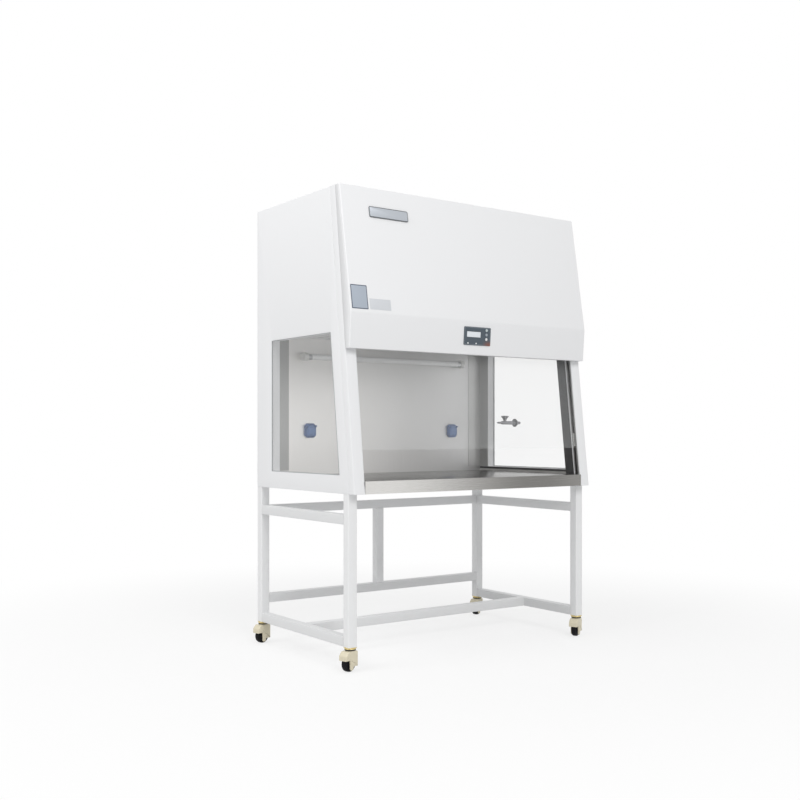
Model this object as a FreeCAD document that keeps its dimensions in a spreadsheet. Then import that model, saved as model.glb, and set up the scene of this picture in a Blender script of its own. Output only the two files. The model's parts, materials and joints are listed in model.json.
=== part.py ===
import FreeCAD
import Part
import Sketcher
import math
import os
import re

# Vertical laminar flow cabinet on a wheeled stand.
# X runs across the cabinet, -Y is its front, +Z is up, and the origin lies on the
# floor under the middle of the whole object. All lengths are millimetres.

Vector = FreeCAD.Vector

# Driving sizes, each written once
SIZES = {
    # overall body and its lean
    "cabinet_width": 1300,
    "cabinet_depth": 800,
    "cabinet_height": 1243,
    "front_lean": 144,
    "outer_sheet": 1.5,
    "liner_sheet": 1.2,
    "seat_gap": 0.3,
    "side_wall": 42,
    "back_space": 72,
    # stand and its wheels
    "caster_height": 96,
    "leg_length": 607,
    "tube_size": 40,
    "tube_wall": 2,
    "stand_front_inset": 42,
    "stand_back_inset": 2,
    "upper_rail_drop": 82,
    "lower_back_rise": 84,
    "wheel_radius": 31.5,
    "wheel_width": 26,
    "wheel_trail": 10,
    "hub_radius": 12,
    "hub_proud": 2,
    "wheel_bore_gap": 0.05,
    "axle_radius": 4,
    "axle_head": 2,
    "fork_shell": 6,
    "fork_wheel_gap": 3,
    "fork_skirt_height": 46,
    "fork_tongue_radius": 21,
    "race_radius": 22,
    "race_height": 9,
    "race_plate": 3,
    "kingpin_radius": 5,
    # front pillars and the sash between them
    "pillar_width": 51,
    "pillar_depth": 39,
    "pillar_sheet": 2,
    "channel_width": 24,
    "channel_depth": 22,
    "channel_wall": 2,
    "channel_lip": 5.5,
    "channel_setback": 8,
    "channel_top_drop": 60,
    "sash_thickness": 6,
    "sash_height": 566,
    "sash_rest_opening": 122,
    "sash_edge_gap": 4,
    "shoe_length": 60,
    "shoe_run": 0.3,
    "shoe_end_inset": 8,
    # side windows
    "window_low": 73,
    "window_high": 651,
    "window_back_gap": 134,
    "window_front_gap": 101,
    "window_glass": 5,
    # hood over the front
    "hood_bottom_height": 578,
    "hood_fold_height": 722,
    "hood_top_reach": 34,
    "hood_fold_reach": 58,
    "hood_bottom_reach": 31,
    # work table
    "table_height": 52,
    "table_sheet": 1.5,
    "skirt_return": 15,
    # air path above the work space
    "deck_height": 677,
    "deck_sheet": 2,
    "deck_front_gap": 2,
    "filter_width": 1200,
    "filter_height": 68,
    "filter_frame_wall": 20,
    "filter_front": 174,
    "filter_back_gap": 4,
    "pleat_pitch": 50,
    "pleat_depth": 40,
    "pleat_inset": 5,
    "diffuser_margin": 15,
    "diffuser_sheet": 1.5,
    "slot_end_gap": 35,
    "slot_width": 14,
    "slot_pitch": 55,
    "fan_room": 304,
    "intake_width": 880,
    "intake_depth": 280,
    "intake_centre": 120,
    "intake_frame": 20,
    "grille_sheet": 2,
    "grille_slot": 10,
    "grille_pitch": 36,
    "prefilter_height": 20,
    "prefilter_lip": 12,
    # centrifugal fan
    "fan_axis_rise": 120,
    "fan_axis_depth": 70,
    "fan_half_width": 75,
    "fan_sheet": 1.5,
    "fan_radius": 80,
    "fan_inner_radius": 66,
    "fan_blade_half": 50,
    "fan_plate": 2,
    "fan_hub_radius": 16,
    "fan_hub_length": 22,
    "fan_blade_thickness": 1.4,
    "fan_start_radius": 95,
    "fan_spiral_step": 15,
    "fan_tongue": 20,
    "fan_flange": 15,
    "fan_inlet_radius": 62,
    "shaft_radius": 5,
    "shaft_gap": 0.05,
    "shaft_reach": 40,
    "motor_radius": 45,
    "motor_length": 80,
    "motor_flange": 60,
    # lamps
    "uv_length": 945,
    "uv_radius": 13,
    "uv_height": 590,
    "uv_stand_off": 32,
    "holder_width": 26,
    "holder_height": 46,
    "work_lamp_length": 900,
    "work_lamp_radius": 8,
    "work_lamp_drop": 20,
    "work_lamp_setback": 62,
    # sockets on the back wall
    "socket_spacing": 834,
    "socket_height": 254,
    "socket_width": 58,
    "socket_tall": 66,
    "socket_clip": 12,
    "socket_thickness": 10,
    "socket_box": 44,
    "socket_box_depth": 35,
    "well_size": 30,
    "well_drop": 4,
    "well_depth": 16,
    "contact_place": 9.5,
    "contact_width": 3,
    "contact_tall": 7,
    "contact_depth": 18,
    "lid_width": 47,
    "lid_tall": 50,
    "lid_thickness": 8,
    "lid_shell": 2,
    "lid_gap": 0.3,
    "lid_lip": 3,
    "lid_lip_tall": 6,
    "hinge_radius": 4,
    "hinge_pin_radius": 1.5,
    "hinge_pin_gap": 0.06,
    "hinge_ear": 5,
    # tap on the right-hand window
    "tap_depth_place": 102,
    "tap_height": 294,
    "tap_flange_radius": 20.5,
    "tap_flange": 4,
    "tap_collar_radius": 12,
    "tap_collar": 10,
    "tap_body_radius": 9,
    "tap_reach": 116,
    "tap_nozzle": 26,
    "tap_nozzle_radius": 4,
    "tap_nozzle_wall": 1.5,
    "tap_stub_radius": 7,
    "tap_stub_reach": 27,
    "tap_hole_gap": 0.5,
    "tap_nut_flat": 22,
    "tap_nut": 9,
    "knob_setback": 72,
    "knob_bonnet_radius": 7,
    "knob_bonnet_top": 13,
    "knob_neck_radius": 9,
    "knob_top_radius": 19,
    "knob_tall": 21,
    "knob_gap": 0.4,
    "knob_lobe": 3,
    "spindle_radius": 4,
    "spindle_gap": 0.05,
    "spindle_depth": 9,
    # control panel
    "panel_width": 147,
    "panel_tall": 78,
    "panel_rise": 658,
    "panel_thickness": 3,
    "panel_corner": 4,
    "panel_box_width": 140,
    "panel_box_tall": 74,
    "panel_box_depth": 18,
    "panel_box_wall": 2,
    "display_width": 77,
    "display_tall": 24.6,
    "display_place": -20,
    "display_rise": 7,
    "key_radius": 6,
    "key_gap": 0.3,
    "key_place": 50,
    "key_top_rise": 27.6,
    "key_pitch": 19.3,
    "key_proud": 1.4,
    "key_travel": 1,
    "key_tab": 8,
    "key_flange": 1,
    "pilot_radius": 2.8,
    "pilot_gap": 0.1,
    "pilot_proud": 0.4,
    "pilot_rise": -31,
    "pilot_first": -51,
    "pilot_second": -6,
    "board_depth": 6,
    "board_sheet": 1.6,
    "post_size": 5,
    # power inlet
    "inlet_width": 50,
    "inlet_tall": 28,
    "inlet_flange": 2,
    "inlet_depth": 24,
    "inlet_side_rim": 6,
    "inlet_end_rim": 2,
    "inlet_wall": 3,
    "inlet_floor": 4,
    "blade_place": 9,
    "blade_rise": 4,
    "blade_drop": 3,
    "blade_thickness": 2,
    "blade_tall": 5,
    "inlet_place": 480,
    "inlet_height": 1140,
}

# Lengths worked out from the driving sizes
DERIVED = {
    "base_z": "caster_height + leg_length",
    "top_z": "base_z + cabinet_height",
    "half_width": "cabinet_width / 2",
    "front_y": "-cabinet_depth / 2",
    "back_y": "cabinet_depth / 2",
    "slope": "front_lean / cabinet_height",
    "inner_x": "half_width - side_wall",
    "wall_y": "back_y - back_space",
    "table_z": "base_z + table_height",
    "deck_z": "base_z + deck_height",
    "pillar_x": "half_width - pillar_width",
    "window_low_z": "base_z + window_low",
    "window_high_z": "base_z + window_high",
    "window_back_y": "back_y - window_back_gap",
    "hood_bottom_z": "base_z + hood_bottom_height",
    "hood_fold_z": "base_z + hood_fold_height",
    "sash_low_z": "table_z + sash_rest_opening",
    "sash_mid": "channel_setback + channel_width / 2",
    "filter_low_z": "deck_z + deck_sheet",
    "filter_top_z": "filter_low_z + filter_height",
    "filter_front_y": "front_y + filter_front",
    "filter_depth": "wall_y - filter_back_gap - filter_front_y",
    "filter_mid_y": "filter_front_y + filter_depth / 2",
    "plenum_top_z": "top_z - fan_room",
    "leg_front_y": "front_y + stand_front_inset",
    "leg_back_y": "back_y - stand_back_inset",
    "leg_inner_x": "half_width - tube_size",
    "race_low_z": "caster_height - race_plate - race_height",
    "fork_top_z": "race_low_z - seat_gap",
    "fork_half": "wheel_width / 2 + fork_wheel_gap / 2 + fork_shell",
    "fork_radius": "wheel_radius + fork_wheel_gap + fork_shell",
    "uv_z": "base_z + uv_height",
    "uv_y": "wall_y - uv_stand_off",
    "socket_z": "base_z + socket_height",
    "hinge_z": "socket_z + lid_tall / 2 - hinge_radius",
    "hinge_y": "wall_y - socket_thickness - lid_gap - hinge_radius",
    "tap_y": "tap_depth_place",
    "tap_z": "base_z + tap_height",
    "tap_seat_x": "half_width - window_glass",
    "knob_x": "half_width - knob_setback",
    "fan_z": "plenum_top_z + fan_axis_rise",
    "fan_y": "fan_axis_depth",
    "fan_side_x": "fan_half_width",
}

# Rest heading of each caster, degrees about the upright, as the photo shows them
CASTER_HEADING = {
    "front_left": 15,
    "front_right": 26,
    "back_left": 12,
    "back_right": 20,
}
FAN_BLADES = 24
KNOB_LOBES = 8

WORD = re.compile(r"[a-z][a-z_]*")


def formula(text):
    """The sheet formula of a plain expression, with derived lengths written out."""
    def swap(match):
        word = match.group(0)
        if word in DERIVED:
            return "(" + formula(DERIVED[word]) + ")"
        if word in SIZES:
            return "Sizes." + word
        return word
    return WORD.sub(swap, str(text))


doc = FreeCAD.newDocument("Cabinet")
sheet = doc.addObject("Spreadsheet::Sheet", "Sizes")
for row, (alias, size) in enumerate(SIZES.items(), start=1):
    sheet.set("A%d" % row, alias.replace("_", " "))
    sheet.set("B%d" % row, str(size))
    sheet.setAlias("B%d" % row, alias)
doc.recompute()

NODES = {}


def number(text):
    """The present value of an expression."""
    return float(sheet.evalExpression(formula(text)))


def lean(height):
    """The Y of the slanted front plane at a height."""
    return "(front_y + ((%s) - base_z) * slope)" % height


def span(sign, inner, outer):
    """A stretch of X on the right (sign 1) or, mirrored, on the left (sign -1)."""
    if sign > 0:
        return inner, outer
    return "-(%s)" % outer, "-(%s)" % inner


def keep(name, thing):
    """Name a finished sub-part."""
    thing.Label = name
    NODES[name] = thing
    return thing


def origin_plane(body, role):
    return [f for f in body.Origin.OriginFeatures if f.Role == role][0]


def tie_point(sketch, geometry, end, u, v):
    """Hold one point of a sketch at two formula distances from the origin."""
    index = sketch.addConstraint(
        Sketcher.Constraint("DistanceX", -1, 1, geometry, end, number(u)))
    sketch.setExpression("Constraints[%d]" % index, formula(u))
    index = sketch.addConstraint(
        Sketcher.Constraint("DistanceY", -1, 1, geometry, end, number(v)))
    sketch.setExpression("Constraints[%d]" % index, formula(v))


def add_polygon(sketch, points):
    """A closed outline of straight lines through formula points."""
    places = [Vector(number(u), number(v), 0) for u, v in points]
    first = sketch.GeometryCount
    count = len(points)
    for i in range(count):
        sketch.addGeometry(Part.LineSegment(places[i], places[(i + 1) % count]), False)
    for i in range(count):
        following = first + (i + 1) % count
        sketch.addConstraint(Sketcher.Constraint("Coincident", first + i, 2, following, 1))
        tie_point(sketch, first + i, 1, points[i][0], points[i][1])


def add_circle(sketch, u, v, radius):
    index = sketch.addGeometry(
        Part.Circle(Vector(number(u), number(v), 0), Vector(0, 0, 1), number(radius)), False)
    tie_point(sketch, index, 3, u, v)
    ring = sketch.addConstraint(Sketcher.Constraint("Radius", index, number(radius)))
    sketch.setExpression("Constraints[%d]" % ring, formula(radius))


def new_body(name):
    return doc.addObject("PartDesign::Body", name)


def new_sketch(body, plane, loops, offset):
    """A sketch on one of the body's origin planes, moved along the plane's normal."""
    sketch = body.newObject("Sketcher::SketchObject", "Outline")
    sketch.AttachmentSupport = [(origin_plane(body, plane + "_Plane"), "")]
    sketch.MapMode = "FlatFace"
    sketch.setExpression("AttachmentOffset.Base.z", formula(offset))
    for loop in loops:
        if loop[0] == "circle":
            add_circle(sketch, *loop[1:])
        else:
            add_polygon(sketch, loop)
    return sketch


def prism(body, plane, loops, low, high, cut=False, leaning=False):
    """Add or cut a straight prism between two values of the plane's own axis."""
    offset = "-(%s)" % high if plane == "XZ" else low
    sketch = new_sketch(body, plane, loops, offset)
    kind = "PartDesign::Pocket" if cut else "PartDesign::Pad"
    feature = body.newObject(kind, "Cut" if cut else "Block")
    feature.Profile = sketch
    feature.setExpression("Length", formula("(%s) - (%s)" % (high, low)))
    if cut:
        feature.Reversed = True
    if leaning:
        feature.UseCustomVector = True
        feature.Direction = Vector(0, number("slope"), 1)
        feature.setExpression("Direction.y", formula("slope"))
        feature.AlongSketchNormal = True
    body.Tip = feature
    return feature


def rectangle(u_low, u_high, v_low, v_high):
    return [(u_low, v_low), (u_high, v_low), (u_high, v_high), (u_low, v_high)]


def turned(body, plane_role, points, axis="V_Axis"):
    """A solid of revolution of an outline about the sketch's own upright or level axis."""
    sketch = new_sketch(body, plane_role, [points], "0")
    feature = body.newObject("PartDesign::Revolution", "Turned")
    feature.Profile = sketch
    feature.ReferenceAxis = (sketch, [axis])
    feature.Angle = 360
    body.Tip = feature
    return feature


def repeat(body, feature, axis, step, count):
    """Repeat a cut or block along a level axis of its own sketch."""
    pattern = body.newObject("PartDesign::LinearPattern", "Row")
    pattern.Originals = [feature]
    pattern.Direction = (feature.Profile[0], [axis])
    pattern.Occurrences = count
    pattern.setExpression("Length", formula("(%s) * %d" % (step, count - 1)))
    body.Tip = pattern
    return pattern


def round_edges(body, wanted, radius):
    """Round the edges of the body's tip that a test picks."""
    doc.recompute()
    tip = body.Tip
    names = ["Edge%d" % (i + 1) for i, e in enumerate(tip.Shape.Edges) if wanted(e)]
    fillet = body.newObject("PartDesign::Fillet", "Rounded")
    fillet.Base = (tip, names)
    fillet.Radius = number(radius)
    fillet.setExpression("Radius", formula(radius))
    body.Tip = fillet
    return fillet


def along(edge, axis):
    """Whether a straight edge runs along an axis."""
    if len(edge.Vertexes) != 2 or edge.Curve.TypeId != "Part::GeomLine":
        return False
    way = edge.Vertexes[1].Point.sub(edge.Vertexes[0].Point)
    return abs(way.dot(axis)) > 0.999 * way.Length


def put(thing, x="0", y="0", z="0"):
    """Bind the place of a sub-part."""
    for name, value in (("x", x), ("y", y), ("z", z)):
        thing.setExpression("Placement.Base." + name, formula(value))
    return thing


def box(name, x, y, z):
    """A block between formula limits on each axis."""
    block = doc.addObject("Part::Box", name)
    for size, (low, high) in (("Length", x), ("Width", y), ("Height", z)):
        block.setExpression(size, formula("(%s) - (%s)" % (high, low)))
    return put(block, x[0], y[0], z[0])


def tube(name, x, y, z, axis):
    """A square stand tube, open along one axis."""
    limits = {"x": x, "y": y, "z": z}
    inner = {}
    for key, (low, high) in limits.items():
        if key == axis:
            inner[key] = ("(%s) - 1" % low, "(%s) + 1" % high)
        else:
            inner[key] = ("(%s) + tube_wall" % low, "(%s) - tube_wall" % high)
    cut = doc.addObject("Part::Cut", name)
    cut.Base = box(name + "_outside", x, y, z)
    cut.Tool = box(name + "_inside", inner["x"], inner["y"], inner["z"])
    return cut


AXIS_TURN = {
    "x": FreeCAD.Rotation(Vector(0, 0, 1), Vector(1, 0, 0)),
    "y": FreeCAD.Rotation(Vector(0, 0, 1), Vector(0, 1, 0)),
    "z": FreeCAD.Rotation(),
}


def rod(name, radius, length, at, axis="z", end_radius=None):
    """A cylinder, or a cone where an end radius is given, from a point along an axis."""
    kind = "Part::Cylinder" if end_radius is None else "Part::Cone"
    solid = doc.addObject(kind, name)
    if end_radius is None:
        solid.setExpression("Radius", formula(radius))
    else:
        solid.setExpression("Radius1", formula(radius))
        solid.setExpression("Radius2", formula(end_radius))
    solid.setExpression("Height", formula(length))
    solid.Placement = FreeCAD.Placement(Vector(), AXIS_TURN[axis])
    return put(solid, *at)


def join(name, pieces):
    solid = doc.addObject("Part::MultiFuse", name)
    solid.Shapes = pieces
    return solid


def cut_away(name, base, tools):
    """The base less each tool."""
    solid = doc.addObject("Part::Cut", name)
    solid.Base = base
    solid.Tool = tools[0] if len(tools) == 1 else join(name + "_tools", tools)
    return solid


def group(name, pieces):
    """Several separate solids in one node."""
    bundle = doc.addObject("Part::Compound", name)
    bundle.Links = pieces
    return keep(name, bundle)


SIDES = (("left", -1), ("right", 1))


# Side casings: folded trays with a slanted front edge and a window opening
def window_outline(inset):
    """The window's outline, drawn in by an amount; its front edge follows the lean."""
    low = "window_low_z + (%s)" % inset
    high = "window_high_z - (%s)" % inset
    back = "window_back_y - (%s)" % inset
    front_low = lean(low) + " + window_front_gap + (%s)" % inset
    front_high = lean(high) + " + window_front_gap + (%s)" % inset
    return [(front_low, low), (back, low), (back, high), (front_high, high)]


def side_outline(inset):
    low = "base_z + (%s)" % inset
    high = "top_z - (%s)" % inset
    back = "back_y - (%s)" % inset
    return [
        (lean(low) + " + pillar_depth + (%s)" % inset, low),
        (back, low),
        (back, high),
        (lean(high) + " + pillar_depth + (%s)" % inset, high),
    ]


def make_side_panel(side, sign):
    body = new_body("side_panel_" + side)
    low, high = span(sign, "inner_x + liner_sheet", "half_width")
    prism(body, "YZ", [side_outline("0"), window_outline("0")], low, high)
    low, high = span(sign, "inner_x + liner_sheet", "half_width - outer_sheet")
    hollow = [side_outline("outer_sheet"), window_outline("-outer_sheet")]
    prism(body, "YZ", hollow, low, high, cut=True)
    keep("side_panel_" + side, body)


def make_side_window(side, sign):
    body = new_body("side_window_" + side)
    low, high = span(sign, "half_width - window_glass", "half_width")
    loops = [window_outline("seat_gap")]
    if sign > 0:
        loops.append(("circle", "tap_y", "tap_z", "tap_stub_radius + tap_hole_gap"))
    prism(body, "YZ", loops, low, high)
    keep("side_window_" + side, body)


def make_side_liner(side, sign):
    body = new_body("side_liner_" + side)
    low, high = span(sign, "inner_x", "inner_x + liner_sheet")
    top = "deck_z - seat_gap"
    outline = [
        (lean("table_z") + " + pillar_depth", "table_z"),
        ("wall_y", "table_z"),
        ("wall_y", top),
        (lean(top) + " + pillar_depth", top),
    ]
    prism(body, "YZ", [outline, window_outline("0")], low, high)
    keep("side_liner_" + side, body)


# Front pillars: folded hollow posts with a groove for the sash channel
def mirrored(points, sign):
    return [("(%s) * %d" % (x, sign), y) for x, y in points]


def make_pillar(side, sign):
    body = new_body("pillar_" + side)
    groove_x = "pillar_x + channel_depth + seat_gap"
    groove_front = "front_y + channel_setback - seat_gap"
    groove_back = "front_y + channel_setback + channel_width + seat_gap"
    outline = [
        ("pillar_x", "front_y"),
        ("half_width", "front_y"),
        ("half_width", "front_y + pillar_depth"),
        ("pillar_x", "front_y + pillar_depth"),
        ("pillar_x", groove_back),
        (groove_x, groove_back),
        (groove_x, groove_front),
        ("pillar_x", groove_front),
    ]
    hollow = rectangle(
        groove_x + " + pillar_sheet", "half_width - pillar_sheet",
        "front_y + pillar_sheet", "front_y + pillar_depth - pillar_sheet")
    loops = [mirrored(outline, sign), mirrored(hollow, sign)]
    prism(body, "XY", loops, "base_z", "top_z", leaning=True)
    keep("pillar_" + side, body)


def make_channel(side, sign):
    """A lipped channel that traps the sash shoes."""
    body = new_body("sash_channel_" + side)
    low = "table_z + seat_gap"
    front = lean(low) + " + channel_setback"
    back = front + " + channel_width"
    outer = "pillar_x + channel_depth"
    outline = [
        ("pillar_x", front),
        (outer, front),
        (outer, back),
        ("pillar_x", back),
        ("pillar_x", back + " - channel_lip"),
        ("pillar_x + channel_wall", back + " - channel_lip"),
        ("pillar_x + channel_wall", back + " - channel_wall"),
        (outer + " - channel_wall", back + " - channel_wall"),
        (outer + " - channel_wall", front + " + channel_wall"),
        ("pillar_x + channel_wall", front + " + channel_wall"),
        ("pillar_x + channel_wall", front + " + channel_lip"),
        ("pillar_x", front + " + channel_lip"),
    ]
    loops = [mirrored(outline, sign)]
    prism(body, "XY", loops, low, "top_z - channel_top_drop", leaning=True)
    keep("sash_channel_" + side, body)


# Sash: one pane that slides on four shoes in the channels
SASH_EDGE = "pillar_x + channel_depth - channel_wall - sash_edge_gap"


def make_sash():
    body = new_body("sash_glass")
    middle = lean("sash_low_z") + " + sash_mid"
    pane = rectangle(
        "-(%s)" % SASH_EDGE, SASH_EDGE,
        middle + " - sash_thickness / 2", middle + " + sash_thickness / 2")
    prism(body, "XY", [pane], "sash_low_z", "sash_low_z + sash_height", leaning=True)
    keep("sash_glass", body)
    shoes = []
    low_ends = {
        "low": "sash_low_z + shoe_end_inset",
        "high": "sash_low_z + sash_height - shoe_end_inset - shoe_length",
    }
    for side, sign in SIDES:
        for level, low in low_ends.items():
            shoes.append(make_shoe(side, sign, level, low))
    group("sash_shoes", shoes)


def make_shoe(side, sign, level, low):
    """A nylon shoe that grips the pane's edge and fills the channel with a running gap."""
    body = new_body("shoe_%s_%s" % (side, level))
    middle = lean(low) + " + sash_mid"
    half = "channel_width / 2 - channel_wall - shoe_run"
    inner = "pillar_x + channel_wall + shoe_run"
    outer = "pillar_x + channel_depth - channel_wall - shoe_run"
    front = "%s - (%s)" % (middle, half)
    back = "%s + (%s)" % (middle, half)
    outline = [
        (inner, front),
        (outer, front),
        (outer, back),
        (inner, back),
        (inner, middle + " + sash_thickness / 2"),
        (SASH_EDGE, middle + " + sash_thickness / 2"),
        (SASH_EDGE, middle + " - sash_thickness / 2"),
        (inner, middle + " - sash_thickness / 2"),
    ]
    high = low + " + shoe_length"
    prism(body, "XY", [mirrored(outline, sign)], low, high, leaning=True)
    return body


# Hood cover: one folded sheet with closed ends, open towards the pillars
HOOD_TOP_Y = lean("top_z") + " - hood_top_reach"
HOOD_FOLD_Y = lean("hood_fold_z") + " - hood_fold_reach"
HOOD_BOTTOM_Y = lean("hood_bottom_z") + " - hood_bottom_reach"


def make_hood():
    body = new_body("hood_cover")
    outside = [
        (HOOD_TOP_Y, "top_z"),
        (HOOD_FOLD_Y, "hood_fold_z"),
        (HOOD_BOTTOM_Y, "hood_bottom_z"),
        (lean("hood_bottom_z") + " - seat_gap", "hood_bottom_z"),
        (lean("top_z") + " - seat_gap", "top_z"),
    ]
    prism(body, "YZ", [outside], "-half_width", "half_width")
    floor = "hood_bottom_z + outer_sheet"
    roof = "top_z - outer_sheet"
    inside = [
        (HOOD_TOP_Y + " + outer_sheet", roof),
        (HOOD_FOLD_Y + " + outer_sheet", "hood_fold_z"),
        (HOOD_BOTTOM_Y + " + outer_sheet", floor),
        (lean(floor) + " + pillar_depth", floor),
        (lean(roof) + " + pillar_depth", roof),
    ]
    inner = "half_width - outer_sheet"
    prism(body, "YZ", [inside], "-(%s)" % inner, inner, cut=True)
    half = "(panel_box_width / 2 + seat_gap)"
    tall = "(panel_box_tall / 2 + seat_gap)"
    hole = rectangle(
        "-" + half, half, "base_z + panel_rise - " + tall, "base_z + panel_rise + " + tall)
    prism(body, "XZ", [hole], HOOD_FOLD_Y + " - 5", HOOD_BOTTOM_Y + " + 8", cut=True)
    keep("hood_cover", body)


# Top panel with the air intake, its grille and the coarse filter below it
def intake(extra):
    x = "intake_width / 2 + (%s)" % extra
    y = "intake_depth / 2 + (%s)" % extra
    return rectangle(
        "-(%s)" % x, x, "intake_centre - (%s)" % y, "intake_centre + (%s)" % y)


def make_top():
    body = new_body("top_panel")
    side = "inner_x + liner_sheet - seat_gap"
    tab = "pillar_x - seat_gap"
    shoulder = lean("top_z") + " + pillar_depth + seat_gap"
    outline = [
        ("-(%s)" % side, shoulder),
        ("-(%s)" % tab, shoulder),
        ("-(%s)" % tab, lean("top_z")),
        (tab, lean("top_z")),
        (tab, shoulder),
        (side, shoulder),
        (side, "back_y - outer_sheet"),
        ("-(%s)" % side, "back_y - outer_sheet"),
    ]
    under = "top_z - outer_sheet"
    prism(body, "XY", [outline], under, "top_z")
    well = "prefilter_height + outer_sheet"
    prism(body, "XY", [intake("outer_sheet")], "top_z - (%s)" % well, under)
    prism(body, "XY", [intake("0")], "top_z - prefilter_height", "top_z", cut=True)
    prism(body, "XY", [intake("-prefilter_lip")], "top_z - (%s) - 1" % well, under, cut=True)
    keep("top_panel", body)
    coarse = new_body("prefilter")
    prism(coarse, "XY", [intake("-seat_gap")], "top_z - prefilter_height", "top_z - seat_gap")
    keep("prefilter", coarse)
    make_intake_grille()


def make_intake_grille():
    body = new_body("intake_grille")
    prism(body, "XY", [intake("intake_frame")], "top_z", "top_z + grille_sheet")
    count = int(number("(intake_width - grille_slot) / grille_pitch"))
    first = "-grille_pitch * %g - grille_slot / 2" % ((count - 1) / 2)
    slots = [rectangle(
        first, first + " + grille_slot",
        "intake_centre - intake_depth * 0.45", "intake_centre + intake_depth * 0.45")]
    cut = prism(body, "XY", slots, "top_z - 1", "top_z + grille_sheet + 1", cut=True)
    repeat(body, cut, "H_Axis", "grille_pitch", count)
    keep("intake_grille", body)


# Back casing with the power inlet, and the tray under the table
def make_back():
    body = new_body("back_panel")
    side = "inner_x + liner_sheet - seat_gap"
    low = "base_z"
    high = "top_z - outer_sheet - seat_gap"
    outside = rectangle("-(%s)" % side, side, low, high)
    prism(body, "XZ", [outside], "back_y - skirt_return", "back_y")
    inside = rectangle(
        "-(%s) + outer_sheet" % side, side + " - outer_sheet",
        low + " + outer_sheet", high + " - outer_sheet")
    prism(body, "XZ", [inside], "back_y - skirt_return - 1", "back_y - outer_sheet", cut=True)
    half = "(inlet_width / 2 - inlet_side_rim + seat_gap)"
    tall = "(inlet_tall / 2 - inlet_end_rim + seat_gap)"
    opening = rectangle(
        "inlet_place - " + half, "inlet_place + " + half,
        "base_z + inlet_height - " + tall, "base_z + inlet_height + " + tall)
    prism(body, "XZ", [opening], "back_y - 3", "back_y + 1", cut=True)
    keep("back_panel", body)


def make_inlet():
    """A three-pin appliance inlet: flange, hollow body and contact blades."""
    x = ("inlet_place - inlet_width / 2", "inlet_place + inlet_width / 2")
    z = ("base_z + inlet_height - inlet_tall / 2", "base_z + inlet_height + inlet_tall / 2")
    flange = box("inlet_rim", x, ("back_y", "back_y + inlet_flange"), z)
    inner_x = (x[0] + " + inlet_side_rim", x[1] + " - inlet_side_rim")
    inner_z = (z[0] + " + inlet_end_rim", z[1] + " - inlet_end_rim")
    shell = box("inlet_shell", inner_x, ("back_y - inlet_depth", "back_y"), inner_z)
    well_x = (inner_x[0] + " + inlet_wall", inner_x[1] + " - inlet_wall")
    well_z = (inner_z[0] + " + inlet_wall", inner_z[1] + " - inlet_wall")
    floor = "back_y - inlet_depth + inlet_floor"
    well = box("inlet_well", well_x, (floor, "back_y + inlet_flange + 1"), well_z)
    shell = cut_away("inlet_case", join("inlet_solid", [flange, shell]), [well])
    blades = []
    places = {"left": ("-blade_place", "-blade_drop"), "middle": ("0", "blade_rise"),
              "right": ("blade_place", "-blade_drop")}
    for name, (dx, dz) in places.items():
        middle = "inlet_place + (%s)" % dx
        height = "base_z + inlet_height + (%s)" % dz
        blades.append(box(
            "inlet_blade_" + name,
            (middle + " - blade_thickness / 2", middle + " + blade_thickness / 2"),
            (floor + " - 1", "back_y - inlet_floor"),
            (height + " - blade_tall / 2", height + " + blade_tall / 2")))
    keep("power_inlet", join("power_inlet", [shell] + blades))


def make_base_pan():
    body = new_body("base_pan")
    side = "inner_x - seat_gap"
    height = "base_z + skirt_return"
    front = lean(height) + " + pillar_depth + seat_gap"
    back = "back_y - skirt_return - seat_gap"
    prism(body, "XY", [rectangle("-(%s)" % side, side, front, back)], "base_z", height)
    inside = rectangle(
        "-(%s) + outer_sheet" % side, side + " - outer_sheet",
        front + " + outer_sheet", back + " - outer_sheet")
    prism(body, "XY", [inside], "base_z + outer_sheet", height + " + 1", cut=True)
    keep("base_pan", body)


# Stainless work table with its front skirt, and the back wall
def make_table():
    body = new_body("work_table")
    wide = "inner_x - seat_gap"
    narrow = "pillar_x - seat_gap"
    shoulder = lean("table_z") + " + pillar_depth + seat_gap"
    top = [
        ("-(%s)" % narrow, "front_y"),
        (narrow, "front_y"),
        (narrow, shoulder),
        (wide, shoulder),
        (wide, "wall_y - seat_gap"),
        ("-(%s)" % wide, "wall_y - seat_gap"),
        ("-(%s)" % wide, shoulder),
        ("-(%s)" % narrow, shoulder),
    ]
    prism(body, "XY", [top], "table_z - table_sheet", "table_z")
    skirt = rectangle("-(%s)" % narrow, narrow, "base_z", "table_z")
    prism(body, "XZ", [skirt], "front_y", "front_y + table_sheet")
    foot = rectangle("-(%s)" % narrow, narrow, "front_y", "front_y + skirt_return")
    prism(body, "XY", [foot], "base_z", "base_z + table_sheet")
    hem_y = "wall_y - seat_gap"
    hem = rectangle("-(%s)" % wide, wide, "base_z + skirt_return", "table_z")
    prism(body, "XZ", [hem], hem_y + " - table_sheet", hem_y)
    keep("work_table", body)


def make_back_wall():
    body = new_body("back_wall")
    side = "inner_x + liner_sheet"
    sheet_span = ("wall_y", "wall_y + liner_sheet")
    face = rectangle("-(%s)" % side, side, "base_z + skirt_return", "deck_z - seat_gap")
    prism(body, "XZ", [face], *sheet_span)
    half = "(socket_box / 2 + seat_gap)"
    for sign in (-1, 1):
        middle = "%d * socket_spacing / 2" % sign
        hole = rectangle(
            middle + " - " + half, middle + " + " + half,
            "socket_z - " + half, "socket_z + " + half)
        prism(body, "XZ", [hole], "wall_y - 1", "wall_y + liner_sheet + 1", cut=True)
    keep("back_wall", body)


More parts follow.
